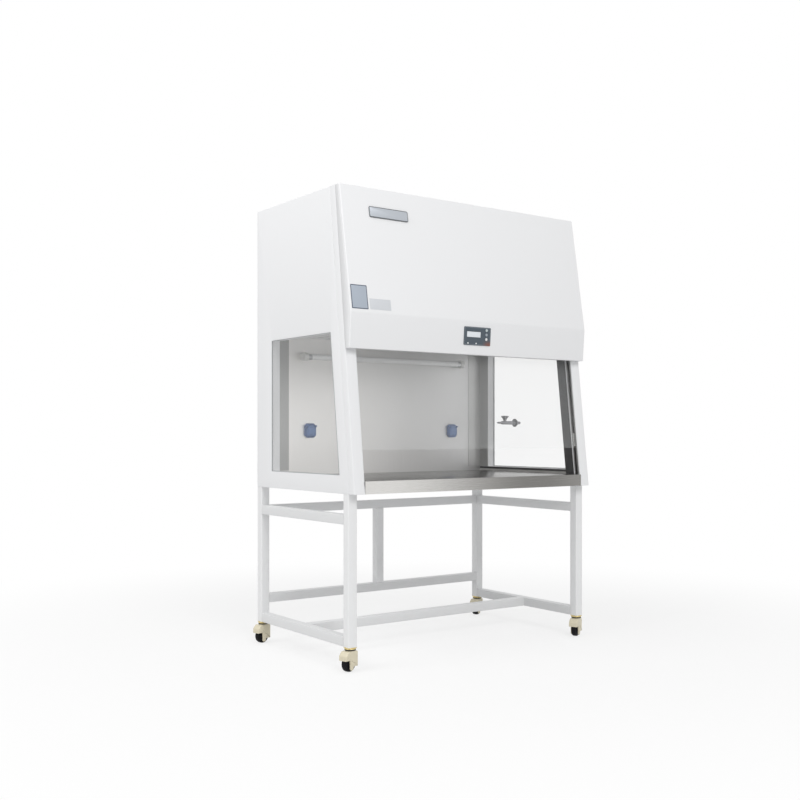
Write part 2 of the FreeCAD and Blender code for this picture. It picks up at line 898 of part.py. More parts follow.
# Air path: deck, diffuser, fine filter, plenum and fan
def deck_opening(extra):
    x = "filter_width / 2 - filter_frame_wall - (%s)" % extra
    y = "filter_depth / 2 - filter_frame_wall - (%s)" % extra
    return rectangle("-(%s)" % x, x, "filter_mid_y - (%s)" % y, "filter_mid_y + (%s)" % y)


def make_deck():
    body = new_body("filter_deck")
    side = "inner_x + liner_sheet"
    front = lean("deck_z") + " + pillar_depth + deck_front_gap"
    outline = rectangle("-(%s)" % side, side, front, "wall_y + liner_sheet")
    loops = [outline, deck_opening("diffuser_margin")]
    prism(body, "XY", loops, "deck_z", "filter_low_z")
    keep("filter_deck", body)


def make_diffuser():
    body = new_body("diffuser")
    plate = deck_opening("-diffuser_margin")
    prism(body, "XY", [plate], "deck_z - diffuser_sheet", "deck_z")
    clear = "(filter_width - 2 * filter_frame_wall - 4 * diffuser_margin)"
    count = int(number(clear + " / slot_pitch"))
    first = "-slot_pitch * %g - slot_width / 2" % ((count - 1) / 2)
    slots = [rectangle(
        first, first + " + slot_width",
        "filter_front_y + filter_frame_wall + slot_end_gap",
        "filter_front_y + filter_depth - filter_frame_wall - slot_end_gap")]
    cut = prism(body, "XY", slots, "deck_z - diffuser_sheet - 1", "deck_z + 1", cut=True)
    repeat(body, cut, "H_Axis", "slot_pitch", count)
    keep("diffuser", body)


def make_filter():
    frame = new_body("filter_frame")
    x = "filter_width / 2"
    y = "filter_depth / 2"
    outside = rectangle("-" + x, x, "filter_mid_y - " + y, "filter_mid_y + " + y)
    prism(frame, "XY", [outside, deck_opening("0")], "filter_low_z", "filter_top_z")
    keep("filter_frame", frame)
    pack = new_body("filter_pack")
    low = "filter_low_z + pleat_inset"
    high = "filter_top_z - pleat_inset"
    prism(pack, "XY", [deck_opening("0")], low, high)
    half = "(filter_width / 2 - filter_frame_wall)"
    count = int(number("2 * %s / pleat_pitch" % half)) - 1
    first = "-pleat_pitch * %g" % (count / 2)
    groove = [
        (first, low + " - 1"),
        (first + " + pleat_pitch * 0.8", low + " - 1"),
        (first + " + pleat_pitch * 0.4", low + " + pleat_depth"),
    ]
    near = "filter_mid_y - filter_depth / 2 + filter_frame_wall + 6"
    far = "filter_mid_y + filter_depth / 2 - filter_frame_wall - 6"
    cut = prism(pack, "XZ", [groove], near, far, cut=True)
    repeat(pack, cut, "H_Axis", "pleat_pitch", count)
    keep("filter_pack", pack)


def make_plenum():
    body = new_body("plenum_box")
    x = "filter_width / 2"
    y = "filter_depth / 2"
    outside = rectangle("-" + x, x, "filter_mid_y - " + y, "filter_mid_y + " + y)
    prism(body, "XY", [outside], "filter_top_z", "plenum_top_z")
    inside = rectangle(
        "-%s + outer_sheet" % x, x + " - outer_sheet",
        "filter_mid_y - %s + outer_sheet" % y, "filter_mid_y + %s - outer_sheet" % y)
    roof = "plenum_top_z - outer_sheet"
    prism(body, "XY", [inside], "filter_top_z - 1", roof, cut=True)
    mouth = rectangle(
        "-fan_half_width + fan_sheet", "fan_half_width - fan_sheet",
        FAN_LEFT + " + fan_sheet", FAN_TONGUE + " - fan_sheet")
    prism(body, "XY", [mouth], roof + " - 1", "plenum_top_z + 1", cut=True)
    keep("plenum_box", body)


FAN_LEFT = "fan_y - fan_start_radius - 3 * fan_spiral_step"
FAN_TONGUE = "fan_y - fan_tongue"


def scroll_face(grow, foot):
    """The fan casing's side view: three growing quarter arcs over a straight outlet."""
    centre = Vector(0, number("fan_y"), number("fan_z"))
    start = number("fan_start_radius")
    step = number("fan_spiral_step")
    right = Vector(0, 1, 0)
    up = Vector(0, 0, 1)
    edges = []
    tongue = number(FAN_TONGUE) + grow
    bottom = centre - up * (start + grow)
    corner = Vector(0, tongue, bottom.z)
    edges.append(Part.LineSegment(Vector(0, tongue, foot), corner).toShape())
    edges.append(Part.LineSegment(corner, bottom).toShape())
    at = bottom
    turn = -90
    for quarter in range(3):
        radius = start + quarter * step + grow
        middle = FreeCAD.Vector(centre)
        if quarter > 0:
            middle = middle - right * step
        if quarter > 1:
            middle = middle - up * step
        points = []
        for share in (0, 45, 90):
            angle = math.radians(turn + share)
            points.append(middle + right * radius * math.cos(angle) + up * radius * math.sin(angle))
        edges.append(Part.Arc(at, points[1], points[2]).toShape())
        at = points[2]
        turn += 90
    foot_left = Vector(0, at.y, foot)
    edges.append(Part.LineSegment(at, foot_left).toShape())
    edges.append(Part.LineSegment(foot_left, Vector(0, tongue, foot)).toShape())
    return Part.Face(Part.Wire(edges))


def make_scroll():
    """The spiral casing of sheet, open at its foot, with an inlet and a shaft hole."""
    sheet_gauge = number("fan_sheet")
    half = number("fan_half_width")
    foot = number("plenum_top_z")
    outside = scroll_face(0, foot).extrude(Vector(2 * half, 0, 0))
    outside.translate(Vector(-half, 0, 0))
    inside = scroll_face(-sheet_gauge, foot - 1).extrude(Vector(2 * (half - sheet_gauge), 0, 0))
    inside.translate(Vector(-half + sheet_gauge, 0, 0))
    rim = number("fan_flange")
    left = scroll_left()
    tongue = number(FAN_TONGUE)
    flange = Part.makeBox(
        2 * (half + rim), tongue - left + 2 * rim, 2 * sheet_gauge,
        Vector(-half - rim, left - rim, foot))
    axis_at = Vector(0, number("fan_y"), number("fan_z"))
    inlet = Part.makeCylinder(
        number("fan_inlet_radius"), half, axis_at - Vector(half + 5, 0, 0), Vector(1, 0, 0))
    passage = Part.makeCylinder(
        number("shaft_radius") + 4, 20, axis_at + Vector(half - 10, 0, 0), Vector(1, 0, 0))
    shape = outside.fuse(flange).cut(inside).cut(inlet).cut(passage)
    scroll = doc.addObject("Part::Feature", "fan_scroll")
    scroll.Shape = shape.removeSplitter()
    keep("fan_scroll", scroll)


def scroll_left():
    """The Y of the casing's front wall, where the last arc runs out."""
    return number("fan_y - fan_spiral_step - (fan_start_radius + 2 * fan_spiral_step)")


def make_fan():
    motor_x = "fan_side_x"
    at = (motor_x, "fan_y", "fan_z")
    flange = box(
        "motor_plate", (motor_x, motor_x + " + fan_plate"),
        ("fan_y - motor_flange", "fan_y + motor_flange"),
        ("fan_z - motor_flange", "fan_z + motor_flange"))
    can = rod("motor_can", "motor_radius", "motor_length", at, "x")
    bore = rod(
        "motor_bore", "shaft_radius + shaft_gap", "shaft_reach + 2",
        ("fan_side_x - 1", "fan_y", "fan_z"), "x")
    keep("fan_motor", cut_away("fan_motor", join("motor_solid", [flange, can]), [bore]))
    start = "fan_blade_half - fan_hub_length"
    shaft = rod(
        "fan_shaft", "shaft_radius", "fan_side_x + shaft_reach - (%s)" % start,
        (start, "fan_y", "fan_z"), "x")
    keep("fan_shaft", shaft)
    make_impeller()


def blade_outline():
    """A forward-curved blade in the fan's end view: two facets on each side."""
    inner = "fan_inner_radius + 0.5"
    outer = "fan_radius - 0.5"
    depth = "(fan_radius - fan_inner_radius)"
    bend = [(inner, "0"),
            (inner + " + %s * 0.55" % depth, depth + " * 0.12"),
            (outer, depth + " * 0.55")]
    back = [(x, y + " + fan_blade_thickness") for x, y in reversed(bend)]
    return bend + back


def make_impeller():
    """A drum of forward-curved blades between a driven plate and an inlet ring."""
    body = new_body("fan_impeller")
    bore = ("circle", "0", "0", "shaft_radius")
    rim = ("circle", "0", "0", "fan_radius")
    prism(body, "YZ", [rim, bore], "fan_blade_half", "fan_blade_half + fan_plate")
    hub = ("circle", "0", "0", "fan_hub_radius")
    prism(body, "YZ", [hub, bore], "fan_blade_half - fan_hub_length", "fan_blade_half")
    sketch = new_sketch(body, "YZ", [], "-fan_blade_half")
    add_polygon(sketch, blade_outline())
    blade = body.newObject("PartDesign::Pad", "Blade")
    blade.Profile = sketch
    blade.setExpression("Length", formula("2 * fan_blade_half"))
    body.Tip = blade
    wheel = body.newObject("PartDesign::PolarPattern", "Blades")
    wheel.Originals = [blade]
    wheel.Axis = (sketch, ["N_Axis"])
    wheel.Angle = 360
    wheel.Occurrences = FAN_BLADES
    body.Tip = wheel
    ring = ("circle", "0", "0", "fan_inner_radius")
    prism(body, "YZ", [rim, ring], "-fan_blade_half - fan_plate", "-fan_blade_half")
    put(body, "0", "fan_y", "fan_z")
    keep("fan_impeller", body)


# Lamps: germicidal tube on the back wall, and the work lamp under the deck's front
def make_lamps():
    half = "uv_length / 2 - holder_width"
    at = ("-(%s)" % half, "uv_y", "uv_z")
    keep("uv_tube", rod("uv_tube", "uv_radius", "2 * (%s)" % half, at, "x"))
    holders = []
    for side, sign in SIDES:
        x = span(sign, half, "uv_length / 2")
        body = new_body("uv_holder_" + side)
        back = "wall_y"
        face = "uv_y - uv_radius - 3"
        outline = [
            (back, "uv_z - holder_height / 2"),
            (back, "uv_z + holder_height / 2"),
            ("uv_y", "uv_z + uv_radius + 3"),
            (face, "uv_z + uv_radius / 2"),
            (face, "uv_z - uv_radius / 2"),
            ("uv_y", "uv_z - uv_radius - 3"),
        ]
        prism(body, "YZ", [outline], *x)
        holders.append(body)
    group("uv_holders", holders)
    half = "work_lamp_length / 2"
    y = lean("deck_z") + " + work_lamp_setback"
    z = "deck_z - work_lamp_drop"
    pieces = [rod("work_lamp_tube", "work_lamp_radius", "work_lamp_length",
                  ("-" + half, y, z), "x")]
    for side, sign in SIDES:
        x = span(sign, half, half + " + holder_width")
        y_span = (y + " - work_lamp_radius - 2", y + " + work_lamp_radius + 2")
        z_span = (z + " - work_lamp_radius - 2", "deck_z")
        pieces.append(box("work_lamp_holder_" + side, x, y_span, z_span))
    group("work_lamp", pieces)


# Sockets: a clipped base sunk in the back wall and a sprung lid on a top hinge
def make_socket(side, sign):
    middle = "(%d * socket_spacing / 2)" % sign
    half = "socket_width / 2"
    tall = "socket_tall / 2"
    outline = [
        (middle + " - " + half, "socket_z - " + tall),
        (middle + " + " + half, "socket_z - " + tall),
        (middle + " + " + half, "socket_z + %s - socket_clip" % tall),
        (middle + " + %s - socket_clip" % half, "socket_z + " + tall),
        (middle + " - %s + socket_clip" % half, "socket_z + " + tall),
        (middle + " - " + half, "socket_z + %s - socket_clip" % tall),
    ]
    body = new_body("socket_plate_" + side)
    prism(body, "XZ", [outline], "wall_y - socket_thickness", "wall_y")
    box_half = "socket_box / 2"
    back = rectangle(
        middle + " - " + box_half, middle + " + " + box_half,
        "socket_z - " + box_half, "socket_z + " + box_half)
    prism(body, "XZ", [back], "wall_y", "wall_y + socket_box_depth")
    face = "wall_y - socket_thickness"
    well = rectangle(
        middle + " - well_size / 2", middle + " + well_size / 2",
        "socket_z - well_drop - well_size / 2", "socket_z - well_drop + well_size / 2")
    prism(body, "XZ", [well], face + " - 1", face + " + well_depth", cut=True)
    contacts = []
    for way in (-1, 1):
        place = "%s + %d * contact_place" % (middle, way)
        contacts.append(rectangle(
            place + " - contact_width / 2", place + " + contact_width / 2",
            "socket_z - well_drop - contact_tall / 2",
            "socket_z - well_drop + contact_tall / 2"))
    prism(body, "XZ", contacts, face + " + well_depth - 1",
          face + " + well_depth + contact_depth", cut=True)
    ears = []
    reach = "lid_width / 2 + lid_gap"
    for way in (-1, 1):
        inner = "%s + %d * (%s)" % (middle, way, reach)
        outer = "%s + %d * (%s + hinge_ear)" % (middle, way, reach)
        x = (inner, outer) if way > 0 else (outer, inner)
        ears.append(box(
            "ear_%s_%d" % (side, way), x, ("hinge_y - hinge_radius", face),
            ("hinge_z - hinge_radius", "hinge_z + hinge_radius")))
    pin = rod(
        "hinge_pin_" + side, "hinge_pin_radius", "2 * (%s + hinge_ear)" % reach,
        ("%s - (%s + hinge_ear)" % (middle, reach), "hinge_y", "hinge_z"), "x")
    name = "socket_base_" + side
    keep(name, join(name, [body, pin] + ears))
    make_lid(side, middle)


def make_lid(side, middle):
    name = "socket_lid_" + side
    body = new_body("lid_shell_" + side)
    x = ("%s - lid_width / 2" % middle, "%s + lid_width / 2" % middle)
    face = "wall_y - socket_thickness - lid_gap"
    front = face + " - lid_thickness"
    low = "hinge_z + hinge_radius - lid_tall"
    outside = [
        (face, low),
        (front, low),
        (front + " - lid_lip", low),
        (front, low + " + lid_lip_tall"),
        (front, "hinge_z"),
        (face, "hinge_z"),
    ]
    prism(body, "YZ", [outside], *x)
    inside = rectangle(
        front + " + lid_shell", face + " + 1",
        low + " + lid_shell", "hinge_z - hinge_radius - lid_shell")
    inner = (x[0] + " + lid_shell", x[1] + " - lid_shell")
    prism(body, "YZ", [inside], inner[0], inner[1], cut=True)
    barrel = rod("barrel_" + side, "hinge_radius", "lid_width", (x[0], "hinge_y", "hinge_z"), "x")
    bore = rod(
        "barrel_bore_" + side, "hinge_pin_radius + hinge_pin_gap", "lid_width + 2",
        (x[0] + " - 1", "hinge_y", "hinge_z"), "x")
    keep(name, cut_away(name, join("lid_solid_" + side, [body, barrel]), [bore]))


# Gas tap through the right-hand window
def make_tap():
    y = "tap_y"
    z = "tap_z"
    tip = "-tap_reach"
    neck = "-tap_reach + tap_nozzle"
    collar = "-tap_flange - tap_collar"
    barrel = new_body("tap_barrel")
    bore = "tap_nozzle_radius - tap_nozzle_wall"
    profile = [
        (tip, bore),
        (tip, "tap_nozzle_radius - tap_nozzle_wall / 3"),
        (tip + " + tap_nozzle * 0.2", "tap_nozzle_radius"),
        (neck, "tap_nozzle_radius"),
        (neck, "tap_body_radius"),
        (collar, "tap_body_radius"),
        (collar, "tap_collar_radius"),
        ("-tap_flange", "tap_collar_radius"),
        ("-tap_flange", "tap_flange_radius"),
        ("0", "tap_flange_radius"),
        ("0", "tap_stub_radius"),
        ("window_glass + tap_stub_reach", "tap_stub_radius"),
        ("window_glass + tap_stub_reach", "0"),
        (neck, "0"),
        (neck, bore),
    ]
    turned(barrel, "XY", profile, "H_Axis")
    put(barrel, "tap_seat_x", y, z)
    bonnet = doc.addObject("Part::Prism", "tap_bonnet")
    bonnet.Polygon = 6
    bonnet.setExpression("Circumradius", formula("knob_bonnet_radius"))
    bonnet.setExpression("Height", formula("knob_bonnet_top"))
    put(bonnet, "knob_x", y, z)
    pieces = [barrel, bonnet]
    nut = doc.addObject("Part::Prism", "tap_nut")
    nut.Polygon = 6
    nut.setExpression("Circumradius", formula("tap_nut_flat / sqrt(3)"))
    nut.setExpression("Height", formula("tap_nut"))
    nut.Placement = FreeCAD.Placement(Vector(), AXIS_TURN["x"])
    put(nut, "half_width", y, z)
    pieces.append(nut)
    hole = rod(
        "tap_bonnet_bore", "spindle_radius + spindle_gap", "spindle_depth + 2",
        ("knob_x", y, "tap_z + knob_bonnet_top - spindle_depth - 1"))
    keep("tap_body", cut_away("tap_body", join("tap_solid", pieces), [hole]))
    make_knob()


def lobes(outer, inner, count):
    """A closed outline of blunt lobes between two radii."""
    points = []
    for step in range(2 * count):
        radius = outer if step % 2 else inner
        turn = math.pi * (step + 0.5) / count
        points.append((
            "(%s) * %.4f" % (radius, math.cos(turn)), "(%s) * %.4f" % (radius, math.sin(turn))))
    return points


def make_knob():
    """A flared, lobed knob on a round spindle that turns in the tap's bonnet."""
    body = new_body("tap_knob")
    neck = lobes("knob_neck_radius", "knob_neck_radius", KNOB_LOBES)
    prism(body, "XY", [neck], "0", "knob_tall * 0.35")
    middle = "(knob_neck_radius + knob_top_radius) / 2"
    flare = lobes(middle, middle + " - knob_lobe", KNOB_LOBES)
    prism(body, "XY", [flare], "knob_tall * 0.35", "knob_tall * 0.6")
    cap = lobes("knob_top_radius", "knob_top_radius - knob_lobe", KNOB_LOBES)
    prism(body, "XY", [cap], "knob_tall * 0.6", "knob_tall")
    stem = ("circle", "0", "0", "spindle_radius")
    prism(body, "XY", [stem], "-knob_gap - spindle_depth", "0")
    put(body, "knob_x", "tap_y", "tap_z + knob_bonnet_top + knob_gap")
    keep("tap_knob", body)


# Control panel on the hood's lower face, in the face's own tilted frame
def panel_place():
    """The middle of the panel on the hood's lower face, turned to lie on it."""
    rise = number("hood_fold_z") - number("hood_bottom_z")
    run = number(HOOD_BOTTOM_Y) - number(HOOD_FOLD_Y)
    height = number("base_z + panel_rise")
    share = (height - number("hood_bottom_z")) / rise
    y = number(HOOD_BOTTOM_Y) - run * share
    tilt = FreeCAD.Rotation(Vector(1, 0, 0), math.degrees(math.atan2(run, rise)))
    return FreeCAD.Placement(Vector(0, y, height), tilt)


def pilot_outline(place_x, radius):
    """The eight-sided outline of an indicator lens."""
    return [("%s + (%s)" % (place_x, x), "pilot_rise + (%s)" % z)
            for x, z in lobes(radius, radius, 4)]


def key_rises():
    return ["key_top_rise - %d * key_pitch" % i for i in range(3)]


def make_panel():
    place = panel_place()
    upright = Vector(0, 1, 0)
    half_w = "panel_width / 2"
    half_t = "panel_tall / 2"
    body = new_body("panel_bezel")
    prism(body, "XZ", [rectangle("-" + half_w, half_w, "-" + half_t, half_t)],
          "-panel_thickness", "0")
    round_edges(body, lambda e: along(e, upright), "panel_corner")
    box_w = "panel_box_width / 2"
    box_t = "panel_box_tall / 2"
    prism(body, "XZ", [rectangle("-" + box_w, box_w, "-" + box_t, box_t)],
          "0", "panel_box_depth")
    prism(body, "XZ", [rectangle(
        "-%s + panel_box_wall" % box_w, box_w + " - panel_box_wall",
        "-%s + panel_box_wall" % box_t, box_t + " - panel_box_wall")],
        "0", "panel_box_depth + 1", cut=True)
    window = rectangle(
        "display_place - display_width / 2", "display_place + display_width / 2",
        "display_rise - display_tall / 2", "display_rise + display_tall / 2")
    holes = [window]
    for rise in key_rises():
        holes.append(("circle", "key_place", rise, "key_radius + key_gap"))
    for place_x in ("pilot_first", "pilot_second"):
        holes.append(pilot_outline(place_x, "pilot_radius"))
    prism(body, "XZ", holes, "-panel_thickness - 1", "1", cut=True)
    posts = []
    for x_sign in (-1, 1):
        for z_sign in (-1, 1):
            x = "%d * (%s - panel_box_wall - post_size)" % (x_sign, box_w)
            z = "%d * (%s - panel_box_wall - post_size)" % (z_sign, box_t)
            posts.append(rectangle(
                x + " - post_size / 2", x + " + post_size / 2",
                z + " - post_size / 2", z + " + post_size / 2"))
    prism(body, "XZ", posts, "0", "board_depth")
    body.Placement = place
    keep("panel_bezel", body)
    make_panel_inside(place, box_w, box_t)


def make_panel_inside(place, box_w, box_t):
    screen = new_body("display_glass")
    pane = rectangle(
        "display_place - display_width / 2 + seat_gap",
        "display_place + display_width / 2 - seat_gap",
        "display_rise - display_tall / 2 + seat_gap",
        "display_rise + display_tall / 2 - seat_gap")
    prism(screen, "XZ", [pane], "-panel_thickness + 0.8", "board_depth")
    pieces = [screen]
    for name, place_x in (("first", "pilot_first"), ("second", "pilot_second")):
        lamp = new_body("pilot_lamp_" + name)
        lens = pilot_outline(place_x, "pilot_radius - pilot_gap")
        prism(lamp, "XZ", [lens], "-panel_thickness - pilot_proud", "board_depth")
        pieces.append(lamp)
    for piece in pieces:
        piece.Placement = place
    group("panel_display", pieces)
    for index, rise in enumerate(key_rises(), start=1):
        key = new_body("panel_key_%d" % index)
        cap = ("circle", "key_place", rise, "key_radius")
        prism(key, "XZ", [cap], "-panel_thickness - key_proud", "seat_gap")
        foot = rectangle(
            "key_place - key_tab", "key_place + key_tab", rise + " - 3", rise + " + 3")
        prism(key, "XZ", [foot], "seat_gap", "seat_gap + key_flange")
        key.Placement = place
        keep("panel_key_%d" % index, key)
    board = new_body("control_board")
    edge = "panel_box_wall + 0.5"
    sheet_outline = rectangle(
        "-%s + %s" % (box_w, edge), "%s - (%s)" % (box_w, edge),
        "-%s + %s" % (box_t, edge), "%s - (%s)" % (box_t, edge))
    prism(board, "XZ", [sheet_outline], "board_depth", "board_depth + board_sheet")
    switches = []
    for rise in key_rises():
        switches.append(rectangle(
            "key_place - 3", "key_place + 3", rise + " - 3", rise + " + 3"))
    prism(board, "XZ", switches, "seat_gap * 2 + key_flange + key_travel", "board_depth")
    chips = [rectangle("-50", "-30", "-20", "0"), rectangle("-10", "8", "-16", "4")]
    behind = "board_depth + board_sheet"
    prism(board, "XZ", chips, behind, behind + " + 3")
    board.Placement = place
    keep("control_board", board)


# Stand of square tube
def make_stand():
    legs = []
    foot_z = "caster_height"
    for side, sign in SIDES:
        x = span(sign, "leg_inner_x", "half_width")
        rows = {
            "front": ("leg_front_y", "leg_front_y + tube_size"),
            "back": ("leg_back_y - tube_size", "leg_back_y"),
        }
        for row, y in rows.items():
            legs.append(tube("leg_%s_%s" % (row, side), x, y, (foot_z, "base_z"), "z"))
    group("stand_legs", legs)
    between = ("leg_front_y + tube_size", "leg_back_y - tube_size")
    upper = ("base_z - upper_rail_drop - tube_size", "base_z - upper_rail_drop")
    lower = (foot_z, foot_z + " + tube_size")
    side_rails = []
    for side, sign in SIDES:
        x = span(sign, "leg_inner_x", "half_width")
        side_rails.append(tube("upper_rail_" + side, x, between, upper, "y"))
        side_rails.append(tube("lower_rail_" + side, x, between, lower, "y"))
    group("side_rails", side_rails)
    across = ("-(leg_inner_x)", "leg_inner_x")
    back = ("leg_back_y - tube_size", "leg_back_y")
    lower_back = ("caster_height + lower_back_rise", "caster_height + lower_back_rise + tube_size")
    group("back_rails", [
        tube("upper_back_rail", across, back, upper, "x"),
        tube("lower_back_rail", across, back, lower_back, "x"),
    ])
    middle = "(leg_front_y + leg_back_y) / 2"
    halfway = (middle + " - tube_size / 2", middle + " + tube_size / 2")
    keep("cross_rail", tube("cross_rail", across, halfway, lower, "x"))
    post_x = ("-tube_size / 2", "tube_size / 2")
    keep("back_post", tube("back_post", post_x, back, (lower_back[1], upper[0]), "z"))


# Casters: fixed race under each leg, hooded fork that swivels, rubber-tyred wheel
LEG_MIDDLE = {
    "front_left": ("-(leg_inner_x + tube_size / 2)", "leg_front_y + tube_size / 2"),
    "front_right": ("leg_inner_x + tube_size / 2", "leg_front_y + tube_size / 2"),
    "back_left": ("-(leg_inner_x + tube_size / 2)", "leg_back_y - tube_size / 2"),
    "back_right": ("leg_inner_x + tube_size / 2", "leg_back_y - tube_size / 2"),
}


def make_races():
    races = []
    for corner, (x, y) in LEG_MIDDLE.items():
        plate_x = (x + " - tube_size / 2", x + " + tube_size / 2")
        plate_y = (y + " - tube_size / 2", y + " + tube_size / 2")
        top = "caster_height"
        plate = box("plate_" + corner, plate_x, plate_y, (top + " - race_plate", top))
        cup = rod("cup_" + corner, "race_radius", "race_height", (x, y, "race_low_z"))
        pin = rod("kingpin_" + corner, "kingpin_radius", "race_height + 8",
                  (x, y, "race_low_z - 8"))
        races.append(join("race_" + corner, [plate, cup, pin]))
    group("caster_races", races)


def turn_about_leg(thing, corner):
    """Turn a caster piece, built about the floor point under its leg, to its heading."""
    x, y = LEG_MIDDLE[corner]
    thing.Placement = FreeCAD.Placement(
        Vector(), FreeCAD.Rotation(Vector(0, 0, 1), CASTER_HEADING[corner]))
    return put(thing, x, y, "0")


def about_axle(radius, angle):
    """A point at an angle round the axle, in a caster's side view."""
    turn = math.radians(angle)
    return ("-wheel_trail + (%s) * %.4f" % (radius, math.cos(turn)),
            "wheel_radius + (%s) * %.4f" % (radius, math.sin(turn)))


def make_fork(corner):
    """A hooded fork: faceted hood over the wheel, round neck, tongues down to the axle."""
    body = new_body("fork_body_" + corner)
    hood = [about_axle("fork_radius", angle) for angle in (40, 75, 105, 140)]
    skirt = "fork_skirt_height"
    side = "fork_radius * 0.94"
    tongue = "fork_tongue_radius"
    octagon = [about_axle(tongue + " * 1.08", angle) for angle in (202.5, 247.5, 292.5, 337.5)]
    outline = [("-wheel_trail + " + side, skirt)] + hood
    outline += [("-wheel_trail - " + side, skirt), ("-wheel_trail - " + tongue, skirt)]
    outline += octagon + [("-wheel_trail + " + tongue, skirt)]
    prism(body, "XZ", [outline], "0 - fork_half", "fork_half")
    prism(body, "XY", [lobes("race_radius", "race_radius", 6)],
          "fork_skirt_height + 12", "fork_top_z")
    gap = "(wheel_width / 2 + fork_wheel_gap / 2)"
    clear = "(wheel_radius + fork_wheel_gap) * 1.01"
    arch = [about_axle(clear, angle) for angle in range(0, 181, 20)]
    arch += [("-wheel_trail - " + clear, "-20"), ("-wheel_trail + " + clear, "-20")]
    prism(body, "XZ", [arch], "-" + gap, gap, cut=True)
    king = ("circle", "0", "0", "kingpin_radius + wheel_bore_gap")
    prism(body, "XY", [king], "fork_top_z - 20", "fork_top_z + 1", cut=True)
    axle = ("circle", "-wheel_trail", "wheel_radius", "axle_radius")
    prism(body, "XZ", [axle], "0 - fork_half", "fork_half")
    head = [about_axle("axle_radius + 3", angle) for angle in range(0, 360, 60)]
    prism(body, "XZ", [head], "0 - fork_half - axle_head", "0 - fork_half")
    prism(body, "XZ", [head], "fork_half", "fork_half + axle_head")
    bundle = group("caster_fork_" + corner, [body])
    turn_about_leg(bundle, corner)


def make_wheel(corner):
    """A solid wheel with a running bore and a faceted hub boss on each face."""
    body = new_body("wheel_body_" + corner)
    half = "wheel_width / 2"
    bore = "axle_radius + wheel_bore_gap"
    tread = half + " - hub_proud"
    rim = ("circle", "0", "0", "wheel_radius")
    prism(body, "XZ", [rim], "-(%s)" % tread, tread)
    prism(body, "XZ", [lobes("hub_radius", "hub_radius", 4)], "-" + half, half)
    prism(body, "XZ", [("circle", "0", "0", bore)], "-%s - 1" % half, half + " + 1", cut=True)
    put(body, "-wheel_trail", "0", "wheel_radius")
    bundle = doc.addObject("Part::Compound", "wheel_" + corner)
    bundle.Links = [body]
    turn_about_leg(bundle, corner)
    keep("caster_wheel_" + corner, bundle)


for side_name, side_sign in SIDES:
    make_side_panel(side_name, side_sign)
    make_side_window(side_name, side_sign)
    make_side_liner(side_name, side_sign)
    make_pillar(side_name, side_sign)
    make_channel(side_name, side_sign)
    make_socket(side_name, side_sign)
make_sash()
make_hood()
make_top()
make_back()
make_inlet()
make_base_pan()
make_table()
make_back_wall()
make_deck()
make_diffuser()
make_filter()
make_plenum()
make_scroll()
make_fan()
make_lamps()
make_tap()
make_panel()
make_stand()
make_races()
for corner_name in LEG_MIDDLE:
    make_fork(corner_name)
    make_wheel(corner_name)
doc.recompute()

# Every object has to be sound before anything is written
faults = []
for thing in doc.Objects:
    if "Invalid" in thing.State or "Error" in thing.State:
        faults.append("%s is %s" % (thing.Label, thing.State))
for name, thing in NODES.items():
    if thing.Shape.isNull() or not thing.Shape.isValid():
        faults.append("%s has no valid shape" % name)
    elif not thing.Shape.Solids:
        faults.append("%s holds no solid" % name)
if faults:
    raise RuntimeError("; ".join(faults))

os.makedirs("parts", exist_ok=True)
for name, thing in NODES.items():
    thing.Shape.exportStep(os.path.join("parts", name + ".step"))
print(len(NODES), "sub-parts written")
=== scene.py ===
# %% [markdown]
# # A vertical laminar flow cabinet on a wheeled stand
#
# A clean-air cabinet is a folded sheet-metal box: steel inside, white powder coat outside,
# with a slanted sash in front and a fan behind the hood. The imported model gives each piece
# its true place and motion. This lesson dresses it, one real finish and one real piece at a
# time, with surfaces worked out as whole numpy arrays.

import json
import math

import bmesh
import bpy
import numpy as np
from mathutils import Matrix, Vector


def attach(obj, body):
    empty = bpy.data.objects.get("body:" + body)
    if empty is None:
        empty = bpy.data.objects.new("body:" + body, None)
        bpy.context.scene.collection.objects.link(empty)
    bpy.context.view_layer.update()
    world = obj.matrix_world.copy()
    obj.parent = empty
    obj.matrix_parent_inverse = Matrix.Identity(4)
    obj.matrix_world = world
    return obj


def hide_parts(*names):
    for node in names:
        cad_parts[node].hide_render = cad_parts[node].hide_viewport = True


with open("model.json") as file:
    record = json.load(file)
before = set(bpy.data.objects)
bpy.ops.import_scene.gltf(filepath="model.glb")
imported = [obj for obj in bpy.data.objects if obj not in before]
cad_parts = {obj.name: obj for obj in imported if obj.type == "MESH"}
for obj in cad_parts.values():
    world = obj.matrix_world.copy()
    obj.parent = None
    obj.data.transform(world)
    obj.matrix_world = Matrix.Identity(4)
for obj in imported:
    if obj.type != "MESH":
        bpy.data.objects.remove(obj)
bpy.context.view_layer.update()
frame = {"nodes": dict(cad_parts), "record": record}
nodes = frame["nodes"]

# %% [markdown]
# ## The sizes that several pieces share
#
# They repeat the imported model's sizes, in metres. The whole front leans back: a plane whose
# depth grows with height. The hood stands ahead of that plane by a reach that grows from its
# lower edge to its fold and shrinks again to the roof.

# %% Shared sizes
BASE_Z, TOP_Z = 0.703, 1.946
HALF_WIDTH = 0.650
FRONT_Y, BACK_Y = -0.400, 0.400
SLOPE = 0.144 / 1.243
HOOD_LOW, HOOD_FOLD = 1.281, 1.425
WALL_Y, LINER_X = 0.328, 0.608
SIDES = (("left", -1), ("right", 1))


def lean(z):
    """Depth of the slanted front: y = front + slope times (z - base)."""
    return FRONT_Y + SLOPE * (z - BASE_Z)


